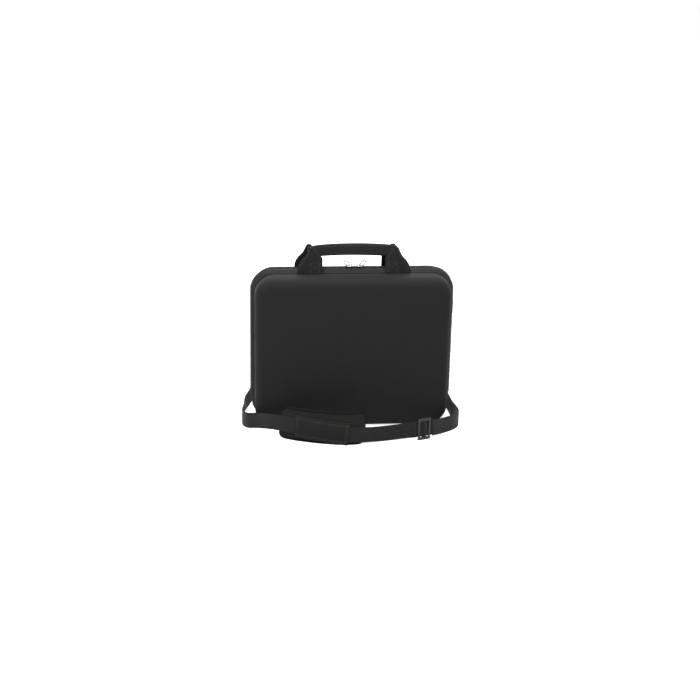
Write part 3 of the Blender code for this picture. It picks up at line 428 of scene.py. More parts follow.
def shaded(mat, colour, roughness, height, depth, mask, metallic=0.0, sheen=0.0, specular=0.5,
           tone=(0.6, 1.3)):
    """A Principled material whose colour and roughness follow a mask and whose bump follows a height."""
    tree = mat.node_tree
    shader = tree.nodes["Principled BSDF"]
    for label, value in (("Metallic", metallic), ("Specular IOR Level", specular), ("Sheen Weight", sheen),
                         ("Sheen Roughness", 0.4)):
        shader.inputs[label].default_value = value
    mix = tree.nodes.new("ShaderNodeMix")
    mix.data_type = "RGBA"
    mix.inputs["A"].default_value = (*(c * tone[0] for c in colour), 1)
    mix.inputs["B"].default_value = (*(min(c * tone[1], 1) for c in colour), 1)
    tree.links.new(mask, mix.inputs["Factor"])
    tree.links.new(mix.outputs["Result"], shader.inputs["Base Color"])
    rough = maths(tree, "ADD", maths(tree, "MULTIPLY", mask, roughness[1] - roughness[0]), roughness[0])
    tree.links.new(rough, shader.inputs["Roughness"])
    bump = tree.nodes.new("ShaderNodeBump")
    bump.inputs["Distance"].default_value = depth
    bump.inputs["Strength"].default_value = 0.8
    tree.links.new(height, bump.inputs["Height"])
    tree.links.new(bump.outputs["Normal"], shader.inputs["Normal"])
    return mat


def blank(name):
    """A new material, its tree and its coordinates."""
    mat = bpy.data.materials.new(name)
    mat.use_nodes = True
    where = mat.node_tree.nodes.new("ShaderNodeTexCoord")
    return mat, mat.node_tree, where


def cloth(name, colour, warp, weft, depth, roughness=(0.72, 0.92), sheen=0.08, coordinates="UV",
          specular=0.14):
    """Woven cloth: yarns in the piece's own UV, and handling marks over them. Its colour is darker in the
    hollows between yarns, which is painted shade, and varies with the marks' random tone.
    """
    if name in bpy.data.materials:
        return bpy.data.materials[name]
    mat, tree, where = blank(name)
    yarns = placed_group(tree, weave_group(), where.outputs[coordinates], Warp=warp, Weft=weft)
    marks = placed_group(tree, wear_group(), where.outputs["Object"], Scale=14.0)
    height = yarns.outputs["Height"]
    # The colour's mask: the yarn height paints shade into the hollows between the yarns, and the handling
    # marks add random tone.
    mask = maths(tree, "ADD", maths(tree, "MULTIPLY", height, 0.45),
                 maths(tree, "MULTIPLY", marks.outputs["Mask"], 0.55))
    return shaded(mat, colour, roughness, height, depth, mask, sheen=sheen, specular=specular)


def grained(name, colour, roughness, scale, depth, metallic=0.0, tone=(0.8, 1.15)):
    """Moulded or cast surface: fine grain of Object coordinates."""
    if name in bpy.data.materials:
        return bpy.data.materials[name]
    mat, tree, where = blank(name)
    marks = placed_group(tree, wear_group(), where.outputs["Object"], Scale=scale)
    return shaded(mat, colour, roughness, marks.outputs["Grain"], depth, marks.outputs["Mask"],
                  metallic=metallic, tone=tone)


def finish(context, name):
    """The material of a name, made the first time that it is asked for."""
    sizes, colours = context.scene.carry_case_sizes, context.scene.carry_case_colours
    pitch, ribs = sizes.cloth_pitch, sizes.web_pitch
    makers = {
        "case_cloth": lambda: cloth(name, colours.cloth, pitch, pitch, 0.12 * MM, sheen=0.05),
        "zip_knit": lambda: cloth(name, colours.tape, ribs * 0.6, ribs * 0.4, 0.1 * MM, sheen=0.12),
        "handle_webbing": lambda: cloth(name, colours.webbing, ribs, ribs * 0.7, 0.3 * MM, (0.5, 0.75), 0.1),
        "strap_webbing": lambda: cloth(name, colours.strap, ribs * 0.8, ribs, 0.28 * MM, (0.5, 0.75), 0.1),
        "pad_cloth": lambda: cloth(name, colours.strap, pitch, pitch, 0.12 * MM, sheen=0.06),
        # Bindings, piping and the cord in the zip's groove: half the shell cloth's colour with little gloss.
        # On the groove cord this is painted shade that makes the groove between shell and tape look dark.
        "binding_and_groove_shade": lambda: cloth(name, [c * 0.5 for c in colours.cloth], ribs * 0.7, ribs * 0.7,
                                      0.15 * MM, sheen=0.0, coordinates="Object", specular=0.08),
        "sewing_thread": lambda: grained(name, [c * 1.6 for c in colours.webbing], (0.45, 0.6), 60.0,
                                         0.03 * MM),
        "tray_foam": lambda: grained(name, colours.foam, (0.9, 1.0), 26.0, 0.5 * MM, tone=(0.7, 1.3)),
        "coil_plastic": lambda: grained(name, colours.plastic, (0.35, 0.5), 60.0, 0.02 * MM),
        "moulded_plastic": lambda: grained(name, colours.plastic, (0.38, 0.55), 40.0, 0.05 * MM),
        "bright_metal": lambda: grained(name, colours.metal, (0.18, 0.34), 30.0, 0.01 * MM, 1.0, (0.85, 1.1)),
        "dark_metal": lambda: grained(name, (0.05, 0.05, 0.052), (0.28, 0.42), 30.0, 0.01 * MM, 0.8),
        "satin_ribbon": lambda: cloth(name, (0.05, 0.05, 0.052), 0.3 * MM, 0.3 * MM, 0.04 * MM, (0.45, 0.6)),
    }
    return makers[name]()


# ---- the case's outline --------------------------------------------------------------------
def outline(inset, arc_steps=12, side_steps=14):
    """Rounded rectangle, anticlockwise seen from the front: four quarter circles and the straight
    runs between them. Gives its points in X and Z and their outward directions."""
    half, low, high = HALF_WIDTH - inset, inset, HEIGHT - inset
    radius = max(CORNER - inset, 2 * MM)
    quarter = np.radians(np.linspace(0, 90, arc_steps + 1))
    centres = ((half - radius, low + radius, -90), (half - radius, high - radius, 0),
               (-half + radius, high - radius, 90), (-half + radius, low + radius, 180))
    points, outward = [], []
    for index, (x, z, start) in enumerate(centres):
        turn = math.radians(start) + quarter
        way = np.stack([np.cos(turn), np.sin(turn)], 1)
        points.append(np.array([x, z]) + radius * way)
        outward.append(way)
        way = np.array([math.cos(math.radians(start + 90)), math.sin(math.radians(start + 90))])
        end = np.array(centres[(index + 1) % 4][:2]) + radius * way
        share = np.linspace(0, 1, side_steps + 2)[1:-1, None]
        points.append(points[-1][-1] * (1 - share) + end * share)
        outward.append(np.broadcast_to(way, (side_steps, 2)))
    return np.concatenate(points), np.concatenate(outward)


def zip_path():
    """The zip's line on the shells' outline: up the right side, over the top and down the left,
    with its outward directions and the ridge's reach, a smooth step of height."""
    points, outward = outline(0.0, 14, 34)
    arc, straight = 15, 34
    side, top = slice(0, 2 * arc + straight), slice(2 * arc + straight, 2 * arc + 2 * straight)
    right = np.concatenate([[(ZIP_END_X, 0.0)], points[side]])
    right_out = np.concatenate([[(0.0, -1.0)], outward[side]])
    flip = np.array([-1, 1])
    path = np.concatenate([right, points[top], right[::-1] * flip])
    out = np.concatenate([right_out, outward[top], right_out[::-1] * flip])
    rise = np.clip((path[:, 1] - 2 * MM) / ZIP_FADE, 0, 1)
    ridge = -ZIP_SINK + (RIDGE + ZIP_SINK) * smooth(rise)
    return path, out, ridge


def upright(out):
    """Directions in X and Z as directions in space."""
    return spread(out[:, 0], 0.0, out[:, 1])


def tape_rise(ridge, across):
    """Reach of the tape beyond the outline at a place across it, from the curled rim to the crest."""
    share = 1 - ((across - CHAIN_GAP) / (RIM_Y - GAP - CHAIN_GAP)) ** TAPE_CURVE
    return -RIM_ROLL + share * (ridge + RIM_ROLL)


def lifted(path, out, reach, y):
    """Points of an outline moved outwards by a reach, at a place across the case."""
    moved = path + out * np.broadcast_to(reach, len(path))[:, None]
    return spread(moved[:, 0], y, moved[:, 1])


# ---- shells --------------------------------------------------------------------------------
def shell_surface(side):
    """The tub: a rim curled in by a quarter ellipse, a straight wall, a quarter circle to the face,
    and a face that crowns by 1 - share squared. UV unfolds the wall outwards from the face."""
    curl = np.radians(np.linspace(0, 90, 6))
    rows = [(RIM_Y + RIM_ROLL * (1 - math.cos(a)), RIM_ROLL * (1 - math.sin(a))) for a in curl]
    straight = DEPTH - FACE_RADIUS
    rows += [(RIM_Y + y, 0.0) for y in np.linspace(RIM_ROLL, straight, 5)[1:-1]]
    rows += [(RIM_Y + straight + FACE_RADIUS * math.sin(a), FACE_RADIUS * (1 - math.cos(a)))
             for a in np.radians(np.linspace(0, 90, 14))]
    rows = np.array(rows)
    drop = np.concatenate([[0], np.cumsum(np.linalg.norm(np.diff(rows, axis=0), axis=1))])
    drop = drop[-1] - drop
    flat, outward = outline(FACE_RADIUS)
    points = [lifted(outline(inset)[0], flat, 0.0, side * y) for y, inset in rows]
    uv = [flat + outward * reach for reach in drop]
    middle = np.array([0.0, HEIGHT / 2])
    for share in np.linspace(1, 0.04, 16)[1:]:
        ring = middle + (flat - middle) * share
        y = RIM_Y + DEPTH + CROWN * (1 - share ** 2)
        points.append(lifted(ring, flat, 0.0, side * y))
        uv.append(ring)
    points, uv = np.array(points), np.array(uv)
    return points, np.concatenate([uv, uv[:, :1]], axis=1)


class CARRYCASE_OT_shells(bpy.types.Operator):
    """Build both moulded shells, their bound seams and the row of stitches round each rim"""
    bl_idname = "carry_case.shells"
    bl_label = "Shells"

    def execute(self, context):
        for half, side in HALVES:
            points, uv = shell_surface(side)
            mesh = grid_mesh(points, uv, around=True, caps=(-1,), flip=side > 0)
            shell = finished(f"{half}_case_shell", mesh, finish(context, "case_cloth"), f"{half}_half",
                             (f"{half}_shell",), sharp=50, closed=False)
            wall = shell.modifiers.new("wall", "SOLIDIFY")
            wall.thickness = WALL
            wall.offset = -1
            softened_copy(f"{half}_seam_binding", f"{half}_bound_seam", 0.5 * MM,
                          finish(context, "binding_and_groove_shade"), f"{half}_half")
            ring, out = outline(0.0)
            line = lifted(ring, out, 0.1 * MM, side * (RIM_Y + RIM_ROLL + 1.5 * MM))
            keep = ring[:, 1] > ZIP_SINK
            start = int(np.argmax(~keep & np.roll(keep, -1))) + 1
            line, outward, keep = (np.roll(values, -start, axis=0) for values in (line, upright(out), keep))
            stitches(context, f"{half}_rim_stitches", [(line[keep], outward[keep])], f"{half}_half")
        return {"FINISHED"}


# ---- zip -----------------------------------------------------------------------------------
TOOTH_SIDES = 6
TOOTH_RINGS = 4


def tooth_shape():
    """One turn of the coil as it shows: a short bar across the tape with a fatter head, each ring a
    circle whose radius grows towards the head. Axes: along the zip, across it and up."""
    turn = np.arange(TOOTH_SIDES) * 2 * np.pi / TOOTH_SIDES
    across = np.array([0.25, 0.7, 2.0, 3.0]) * MM
    radius = np.array([0.62, 0.82, 0.62, 0.5]) * MM
    height = np.array([1.0, 1.1, 1.15, 0.9]) * MM
    points = spread(radius[:, None] * np.cos(turn), across[:, None],
                    height[:, None] + radius[:, None] * np.sin(turn))
    i, j = np.meshgrid(np.arange(TOOTH_RINGS - 1), np.arange(TOOTH_SIDES), indexing="ij")
    i, j = i.ravel(), j.ravel()
    after = (j + 1) % TOOTH_SIDES
    quads = np.stack([i * TOOTH_SIDES + j, i * TOOTH_SIDES + after,
                      (i + 1) * TOOTH_SIDES + after, (i + 1) * TOOTH_SIDES + j], 1).tolist()
    for row in (0, TOOTH_RINGS - 1):
        base = row * TOOTH_SIDES
        quads += [[base, base + 1, base + 2, base + 3], [base, base + 3, base + 4, base + 5]]
    return points.reshape(-1, 3), quads


class CARRYCASE_OT_zip(bpy.types.Operator):
    """Build the knitted tapes, the coil's turns and the two rows of stitches that hold them"""
    bl_idname = "carry_case.zip"
    bl_label = "Zip"

    def execute(self, context):
        sizes = context.scene.carry_case_sizes
        path, out, ridge = zip_path()
        along = run_lengths(path)
        shape, faces = tooth_shape()
        across = np.linspace(RIM_Y - GAP, CHAIN_GAP, 14)
        for half, side in HALVES:
            outer, inner = ([lifted(path, out, tape_rise(ridge, y) - under, side * y) for y in across]
                            for under in (0.0, TAPE))
            points = np.stack(outer + inner[::-1], 1)
            width = np.concatenate([across, across[::-1], across[:1]])
            uv = flat_grid(along, width)
            finished(f"{half}_tape", ringed(points, uv), finish(context, "zip_knit"), f"{half}_half",
                     (f"{half}_zip_tape",), sharp=50)

            # A nearly black cord in the valley between the shell's rim and the tape. It is painted shade for
            # the dark groove there, and also stands for a seam's cord.
            groove = lifted(path, out, -0.6 * MM, side * (RIM_Y + 0.2 * MM))
            finished(f"{half}_groove_shade_cord", tube_mesh(groove, 1.6 * MM, (0, 1, 0), sides=12),
                     finish(context, "binding_and_groove_shade"), f"{half}_half", sharp=60)

            crest = lifted(path, out, ridge, 0.0)
            run = run_lengths(crest)
            first = sizes.coil_pitch * (0.5 if side > 0 else 1.0)
            places = np.arange(first, run[-1] - 1 * MM, sizes.coil_pitch)
            point = between(places, run, crest)
            up = unit(between(places, run, upright(out)))
            over = np.broadcast_to((0.0, float(side), 0.0), point.shape)
            bases = np.stack([np.cross(over, up), over, up], 1)
            finished(f"{half}_coil", copies_mesh(shape, faces, point, bases), finish(context, "coil_plastic"),
                     f"{half}_half", (f"{half}_zip_chain",), sharp=80)
            lines = [(lifted(path, out, tape_rise(ridge, y) + 0.1 * MM, side * y), upright(out))
                     for y in (5.2 * MM, 11.0 * MM)]
            stitches(context, f"{half}_tape_stitches", lines, f"{half}_half")
        return {"FINISHED"}


def rounded_plate(outline_points, low, high, edge):
    """A closed plate: the outline shrunk towards its middle by a quarter circle at both edges,
    and down to a small ring at the middle of each flat."""
    middle = outline_points.mean(0)
    turn = np.radians(np.linspace(0, 90, 5))
    radius = np.linalg.norm(outline_points - middle, axis=1).mean()
    drawn, step = 1 - edge / radius * (1 - np.sin(turn)), edge * (1 - np.cos(turn))
    shrink = np.concatenate([[0.06, 0.5], drawn, drawn[::-1], [0.5, 0.06]])
    rise = np.concatenate([[low, low], low + step, (high - step)[::-1], [high, high]])
    flat = middle + (outline_points - middle) * shrink[:, None, None]
    points = np.concatenate([flat, np.broadcast_to(rise[:, None, None], (*flat.shape[:2], 1))], -1)
    return points, np.concatenate([flat, flat[:, :1]], axis=1)


class CARRYCASE_OT_sliders(bpy.types.Operator):
    """Build the two sliders with their bails, and the pulls that hang in them"""
    bl_idname = "carry_case.sliders"
    bl_label = "Zip Sliders"

    def execute(self, context):
        metal = finish(context, "bright_metal")
        turn, arch = full_turn(40), np.radians(np.linspace(0, 180, 25))
        for hand, side in HANDS:
            body = f"zip_slider_{hand}"
            low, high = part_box(body)
            x, half, width = (low.x + high.x) / 2, (high.x - low.x) / 2, high.y
            nose = (1 - side * SLIDER_NOSE * np.cos(turn)) / (1 + SLIDER_NOSE)
            ring = spread(x + half * bulge(np.cos(turn), 0.55), width * bulge(np.sin(turn), 0.55) * nose)
            for part, bottom, share in (("plate", SLIDER_LOW, 1.0), ("base", low.z, SLIDER_BASE / width)):
                points, uv = rounded_plate(ring * np.array([1, share]), bottom, bottom + SLIDER_PLATE,
                                           0.6 * MM)
                finished(f"slider_{part}_{hand}", ringed(points, uv), metal, body, (body,))
            post = np.array([(x, 0, low.z + 0.7 * MM), (x, 0, SLIDER_LOW + 0.7 * MM)])
            finished(f"slider_post_{hand}", tube_mesh(post, 0.72 * MM, (1, 0, 0), sides=12), metal, body)
            foot = SLIDER_LOW + BAIL_WIRE
            bail = spread(x - (half - BAIL_INSET) * np.cos(arch), 0.0,
                          foot + (high.z - BAIL_WIRE - foot) * np.sin(arch) ** 0.6)
            finished(f"slider_bail_{hand}", tube_mesh(bail, BAIL_WIRE, (0, 1, 0)), metal, body)
            self.pull(metal, hand, side, x)
        return {"FINISHED"}

    def pull(self, metal, hand, side, x):
        """A loop of wire round a smooth closed outline, leaning away from the other slider and
        twisted a little on its bail."""
        half, tall, foot = PULL_HALF, PULL_LENGTH, PULL_FOOT
        path = spline([(-foot, 0.0), (foot, 0.0), (half, 0.3 * tall), (half, 0.68 * tall),
                       (half * 0.62, 0.92 * tall), (0.0, tall), (-half * 0.62, 0.92 * tall),
                       (-half, 0.68 * tall), (-half, 0.3 * tall)], 6, closed=True)
        lean = side * PULL_LEAN
        along, across = np.array([math.sin(lean), 0, math.cos(lean)]), np.array([0.0, 1.0, 0.0])
        twisted = across * math.cos(PULL_TWIST) + np.cross(along, across) * math.sin(PULL_TWIST) * side
        points = np.array([x, 0, PULL_AXIS]) + path[:, :1] * twisted + path[:, 1:] * along
        mesh = tube_mesh(points, PULL_WIRE, np.cross(along, twisted), closed=True)
        finished(f"pull_loop_{hand}", mesh, metal, f"zip_pull_{hand}", (f"zip_pull_{hand}",))


# ---- handles -------------------------------------------------------------------------------
def leaned(points, half, side):
    """From the handle's own upright frame to its place: a lean about X, the rear one mirrored."""
    cos, sin = math.cos(HANDLE_LEAN), math.sin(HANDLE_LEAN)
    x, y, z = points[..., 0], points[..., 1], points[..., 2]
    across, up = y * cos + z * sin, z * cos - y * sin
    foot = HEIGHT + GAP + TAB_THICK * 0.12
    across = -across if side > 0 else across
    return np.stack([x + HANDLE_SHIFT[half], across + side * HANDLE_Y, up + foot], -1)


def tab_edges(share):
    """The tab's two edges at a share of its height, from its inner foot: upright then folded in
    towards the top, and the slanted outer edge."""
    inner = np.interp(share, [0, 0.6, 1], [0, 0, 17.5]) * MM
    outer = np.interp(share, [0, 0.2, 0.37, 0.53, 0.67, 1], [49, 49, 46.5, 41, 33.5, 25.5]) * MM
    return inner, outer


def tab_points(mirror, share, across, offset):
    """A point of a tab from its share of the height and of the width between its edges."""
    inner, outer = tab_edges(share)
    x = mirror * (TAB_SPACING / 2 - TAB_WIDTH / 2 + inner + (outer - inner) * across)
    return spread(x, offset, TAB_TOP * share)


def tab_grid(mirror):
    """A flat band whose thickness falls away at its edges as a high power, with a raised inner selvedge."""
    share = np.linspace(0, 1, 30)[:, None]
    across = np.linspace(0, 1, 34)[None, :]
    thick = TAB_THICK / 2 * np.sqrt(np.maximum(1 - np.abs(2 * across - 1) ** 16, 0.003))
    lip = 0.35 * MM * np.exp(-((across - 0.05) / 0.03) ** 2)
    front = tab_points(mirror, share, across, -thick - lip)
    back = tab_points(mirror, share, across, thick + 0 * share)
    points = np.concatenate([front, back[:, ::-1]], axis=1)
    inner, outer = tab_edges(share)
    run = inner + (outer - inner) * across
    uv = spread(np.concatenate([run, run[:, ::-1], run[:, :1]], 1), TAB_TOP * share)
    return points, uv


def grip_crown(along):
    """Height of the grip's arched middle line at a share of its half length."""
    return GRIP_CROWN * (1 - along ** 2) - GRIP_CROWN * 0.35


def grip_grid():
    """The grip: a superellipse section along a low parabola, drawn in at both ends."""
    along = np.linspace(-1, 1, 61)[:, None]
    turn = full_turn(40)[None, :]
    end = 1 - 0.12 * np.abs(along) ** 8
    cos, sin = np.cos(turn), np.sin(turn)
    y = TAB_THICK / 2 + GRIP_THICK / 2 - 0.5 * MM + GRIP_THICK / 2 * bulge(cos, 0.7) * end
    z = GRIP_LOW + GRIP_HEIGHT / 2 + grip_crown(along) + GRIP_HEIGHT / 2 * bulge(sin, 0.6) * end
    points = spread(along * GRIP_HALF, y, z)
    uv = spread(along * GRIP_HALF, np.linspace(0, 2 * (GRIP_HEIGHT + GRIP_THICK), 41)[None, :])
    return points, uv


class CARRYCASE_OT_handles(bpy.types.Operator):
    """Build both carry handles: folded webbing tabs, the wrapped grip and their stitching"""
    bl_idname = "carry_case.handles"
    bl_label = "Handles"

    def execute(self, context):
        webbing = finish(context, "handle_webbing")
        rise, lift = np.linspace(0.05, 0.96, 20), -TAB_THICK / 2 - 0.05 * MM
        near, far, foot, top = 0.10, 0.52, 0.06, 0.42
        box = ((near, foot), (near, top), (far, top), (far, foot), (near, foot))
        seams = [np.array(line) for line in (box, box[0:3:2], box[3:0:-2])]
        for half, side in HALVES:
            body, lines = f"{half}_handle", []
            face = leaned(np.array([(0, -1, 0), (0, 0, 0)]), half, side)
            outward = unit(face[0] - face[1])
            for hand, mirror in HANDS:
                points, uv = tab_grid(mirror)
                finished(f"{half}_tab_{hand}", ringed(leaned(points, half, side), uv), webbing, body,
                         (f"{half}_handle",), sharp=60)
                paths = [tab_points(mirror, rise, across, lift) for across in (0.93, 0.86, 0.13)]
                paths += [tab_points(mirror, seam[:, 1], seam[:, 0], lift) for seam in seams]
                lines += [(leaned(path, half, side), outward) for path in paths]
            points, uv = grip_grid()
            points[..., 2] -= REAR_GRIP_DROP * (side > 0)
            finished(f"{half}_grip", ringed(leaned(points, half, side), uv), webbing, body,
                     sharp=60)
            along = np.linspace(-0.7, 0.7, 30)
            for up in (0.34, -0.34):
                path = spread(along * GRIP_HALF, TAB_THICK / 2 - 0.5 * MM + 0.05 * MM,
                              GRIP_LOW + GRIP_HEIGHT * (0.5 + up) + grip_crown(along))
                lines.append((leaned(path, half, side), outward))
            stitches(context, f"{half}_handle_stitches", lines, body)
        return {"FINISHED"}


# ---- foam, hinge and label -----------------------------------------------------------------
class CARRYCASE_OT_foam(bpy.types.Operator):
    """Build the foam trays, the foam behind them and the sheet between them"""
    bl_idname = "carry_case.foam"
    bl_label = "Foam"

    def execute(self, context):
        foam = finish(context, "tray_foam")
        for half, _ in HALVES:
            body = f"{half}_half"
            for hand, _ in HANDS:
                softened_copy(f"{half}_tray_{hand}", f"{half}_pocket_foam_{hand}", 0.9 * MM, foam, body)
            softened_copy(f"{half}_foam_floor", f"{half}_backing_foam", 0.8 * MM, foam, body)
        softened_copy("divider_pad", "divider_foam", 1.2 * MM, foam, "rear_half")
        return {"FINISHED"}


class CARRYCASE_OT_hinge(bpy.types.Operator):
    """Build the cloth hinge between the shells, a straight block in the gusset's place"""
    bl_idname = "carry_case.hinge"
    bl_label = "Hinge"

    def execute(self, context):
        low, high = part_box("hinge_gusset")
        across = np.linspace(low.y, high.y, 33)
        rise = np.concatenate([np.full(33, low.z), np.full(33, high.z)])
        places = np.concatenate([across, across[::-1]])
        along = np.linspace(low.x, high.x, 41)
        points = spread(along[:, None], places[None, :], rise[None, :])
        uv = flat_grid(along, np.append(places, places[0]))
        mesh = ringed(points, uv)
        cloth_piece = finished("hinge_cloth", mesh, finish(context, "pad_cloth"), None,
                               ("hinge_gusset",))
        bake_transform(cloth_piece)
        return {"FINISHED"}


class CARRYCASE_OT_label(bpy.types.Operator):
    """Build the bare folded ribbon in the right-hand seam"""
    bl_idname = "carry_case.label"
    bl_label = "Label Tab"

    def execute(self, context):
        low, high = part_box("label_tab")
        reach, thick = high.x - low.x, high.y - low.y
        turn = np.radians(np.linspace(90, -90, 9))
        bend = thick / 2
        x = np.concatenate([[low.x], high.x - bend + bend * np.cos(turn), [low.x]])
        y = (low.y + high.y) / 2 + np.concatenate([[bend], bend * np.sin(turn), [-bend]])
        rise = np.linspace(low.z, high.z, 20)
        points = spread(x[None, :], y[None, :], rise[:, None])
        width = np.append(run_lengths(np.stack([x, y], 1)), 2 * reach + thick)
        uv = flat_grid(rise, width)
        finished("side_ribbon", ringed(points, uv), finish(context, "satin_ribbon"), "front_half",
                 ("label_tab",))
        return {"FINISHED"}


# ---- rings and hooks -----------------------------------------------------------------------
class CARRYCASE_OT_rings(bpy.types.Operator):
    """Build the D-rings and the sewn loops that hold them"""
    bl_idname = "carry_case.rings"
    bl_label = "Rings"

    def execute(self, context):
        for hand, side in HANDS:
            turn = np.radians(np.linspace(0, 180, 25))
            bow = np.stack([RING_HALF * np.cos(turn), 4 * MM + (RING_DROP - 4 * MM) * np.sin(turn)], 1)
            bar = np.stack([np.linspace(-RING_HALF, RING_HALF, 12), np.zeros(12)], 1)
            path = np.concatenate([bar, bow])
            share = path[:, 1] / RING_DROP
            points = np.stack([side * RING_X + path[:, 0], RING_Y + (BOW_Y - RING_Y) * share,
                               RING_BAR_Z - (RING_BAR_Z - BOW_Z) * share], 1)
            mesh = tube_mesh(points, RING_WIRE,
                             (0, math.cos(RING_LEAN), math.sin(RING_LEAN)), closed=True)
            finished(f"ring_{hand}", mesh, finish(context, "dark_metal"), f"d_ring_{hand}",
                     (f"d_ring_{hand}",), sharp=60)
            softened_copy(f"ring_loop_{hand}", f"sewn_loop_{hand}", 0.3 * MM, finish(context, "binding_and_groove_shade"),
                          "rear_half")
            low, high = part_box(f"ring_loop_{hand}")
            x0, x1, z0, z1 = low.x + 3 * MM, high.x - 3 * MM, RING_BAR_Z + 10 * MM, high.z - 2.5 * MM
            face = low.y + 2 * LOOP_THICK + GAP + 0.05 * MM
            corners = ([(x0, z0), (x1, z0), (x1, z1), (x0, z1), (x0, z0)], [(x0, z0), (x1, z1)],
                       [(x1, z0), (x0, z1)])
            lines = [(np.array([(x, face, z) for x, z in line]), np.array((0.0, 1.0, 0.0)))
                     for line in corners]
            stitches(context, f"loop_stitches_{hand}", lines, "rear_half")
        return {"FINISHED"}


class CARRYCASE_OT_hooks(bpy.types.Operator):
    """Build the swivel hooks: bent body, sprung gate, turned barrel and the eye for the strap"""
    bl_idname = "carry_case.hooks"
    bl_label = "Hooks"

    def execute(self, context):
        metal = finish(context, "bright_metal")
        gate_high, gate_low = HOOK_TOP_Z - 6.5 * MM, HOOK_LOW_Z + 6.5 * MM
        for hand, side in HANDS:
            x = side * RING_X
            bends = ((HOOK_LOW_Z + HOOK_HALF, 0, -180, 17), (HOOK_TOP_Z - HOOK_HALF, 180, 0, 21))
            arcs = [(middle, np.radians(np.linspace(*turn))) for middle, *turn in bends]
            path = [spread(x, BOW_Y + HOOK_HALF * np.cos(turn), middle + HOOK_HALF * np.sin(turn))
                    for middle, turn in arcs]
            points = np.concatenate([*path, [(x, BOW_Y + HOOK_HALF, gate_high + 0.3 * MM)]])
            finished(f"hook_{hand}", tube_mesh(points, HOOK_WIRE, (1, 0, 0)), metal, f"hook_{hand}",
                     (f"hook_body_{hand}",), sharp=60)
            self.barrel(metal, hand, x)
            gate = spread(x, BOW_Y + HOOK_HALF, np.linspace(gate_low + 2.2 * MM, gate_high - 0.2 * MM, 9))
            finished(f"gate_{hand}", tube_mesh(gate, HOOK_WIRE * 0.8, (1, 0, 0)), metal, f"hook_gate_{hand}",
                     (f"hook_gate_{hand}",))
            half = WEBBING / 2 + HOOK_WIRE + 1.0 * MM
            corners = [(-half, EYE_BAR_Z), (half, EYE_BAR_Z), (half, EYE_TOP_Z - 5 * MM),
                       (half * 0.6, EYE_TOP_Z - HOOK_WIRE), (-half * 0.6, EYE_TOP_Z - HOOK_WIRE),
                       (-half, EYE_TOP_Z - 5 * MM)]
            frame_path = self.rounded(np.array(corners), 1.6 * MM)
            points = spread(x + frame_path[:, 0], BOW_Y, frame_path[:, 1])
            finished(f"eye_{hand}", tube_mesh(points, HOOK_WIRE, (0, 1, 0), closed=True), metal,
                     f"hook_eye_{hand}", (f"hook_eye_{hand}",), sharp=60)
        return {"FINISHED"}

    def rounded(self, corners, radius):
        """A closed outline whose corners are quadratic curves between points a radius from each."""
        before = unit(np.roll(corners, 1, axis=0) - corners) * radius
        after = unit(np.roll(corners, -1, axis=0) - corners) * radius
        t = np.linspace(0, 1, 7)[None, :, None]
        start, middle, end = (a[:, None] for a in (corners + before, corners, corners + after))
        return (start * (1 - t) ** 2 + 2 * middle * t * (1 - t) + end * t ** 2).reshape(-1, 2)

    def barrel(self, metal, hand, x):
        """The swivel: a turned profile of radius against height with a collar and a waist."""
        low, high = HOOK_LOW_Z - SWIVEL_LENGTH - 0.1 * MM, HOOK_LOW_Z + 1 * MM
        share = np.array([0, 0, 0.06, 0.3, 0.36, 0.5, 0.64, 0.7, 0.9, 1.0, 1.0])
        size = np.array([0.1, 0.9, 1.0, 1.0, 0.8, 0.76, 0.8, 1.0, 0.95, 0.7, 0.1])
        turn = np.arange(28) * 2 * np.pi / 28
        radius = SWIVEL_RADIUS * size[:, None]
        points = spread(x + radius * np.cos(turn), BOW_Y + radius * np.sin(turn),
                        (low + (high - low) * share)[:, None])
        uv = flat_grid(share, np.linspace(0, 1, 29)) * SWIVEL_RADIUS
        finished(f"swivel_{hand}", ringed(points, uv), metal, f"hook_{hand}")


# ---- shoulder strap ------------------------------------------------------------------------
def strap_route():
    """The strap's middle line from the left eye to the right one, with the direction across its
    width and its normal. It turns from upright on the floor to lying flat behind the case."""
    back = np.array(BACK_ROUTE) * MM
    mirror = np.array([-1, 1, 1])
    top = np.array([(RING_X, BOW_Y + 3.4 * MM, EYE_BAR_Z - 4 * MM)])
    knots = np.concatenate([top * mirror, back[::-1] * mirror, np.array(FRONT_ROUTE) * MM, back, top])
    path = spline(knots, ROUTE_STEPS)
    ahead = tangents(path)
    rise = np.clip((path[:, 2] - 24 * MM) / (110 * MM), 0, 1)
    rise = np.where(path[:, 1] > BEHIND_Y, smooth(rise), 0.0)
    side = np.where(path[:, 0] > 0, 1.0, -1.0)
    across = np.stack([side * np.sin(rise * np.pi / 2), np.zeros(len(path)), np.cos(rise * np.pi / 2)], 1)
    across = unit(across - ahead * np.sum(ahead * across, axis=1, keepdims=True))
    return path, across, unit(np.cross(ahead, across)), run_lengths(path)


ROUTE, ACROSS, NORMAL, LENGTH = strap_route()


def at(distance):
    """The strap's place, across and normal at distances along it, read between its points."""
    place, over, out = (np.stack([np.interp(distance, LENGTH, values[:, k]) for k in range(3)], -1)
                        for values in (ROUTE, ACROSS, NORMAL))
    return place, unit(over), unit(out)


def nearest(node):
    """Distance along the strap of the point of its front run that is nearest a node's middle."""
    low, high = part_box(node)
    middle = np.array([(low.x + high.x) / 2, (low.y + high.y) / 2])
    far = np.linalg.norm(ROUTE[:, :2] - middle, axis=1)
    return LENGTH[int(np.argmin(far))]


ADJUSTER_AT = nearest("strap_adjuster")
PAD_AT = LENGTH[int(np.argmax((ROUTE[:, 1] < -60 * MM) & (ROUTE[:, 0] >= PAD_START_X)))]
STRAIGHT_HALF = ADJUSTER_LENGTH / 2 + 7 * MM


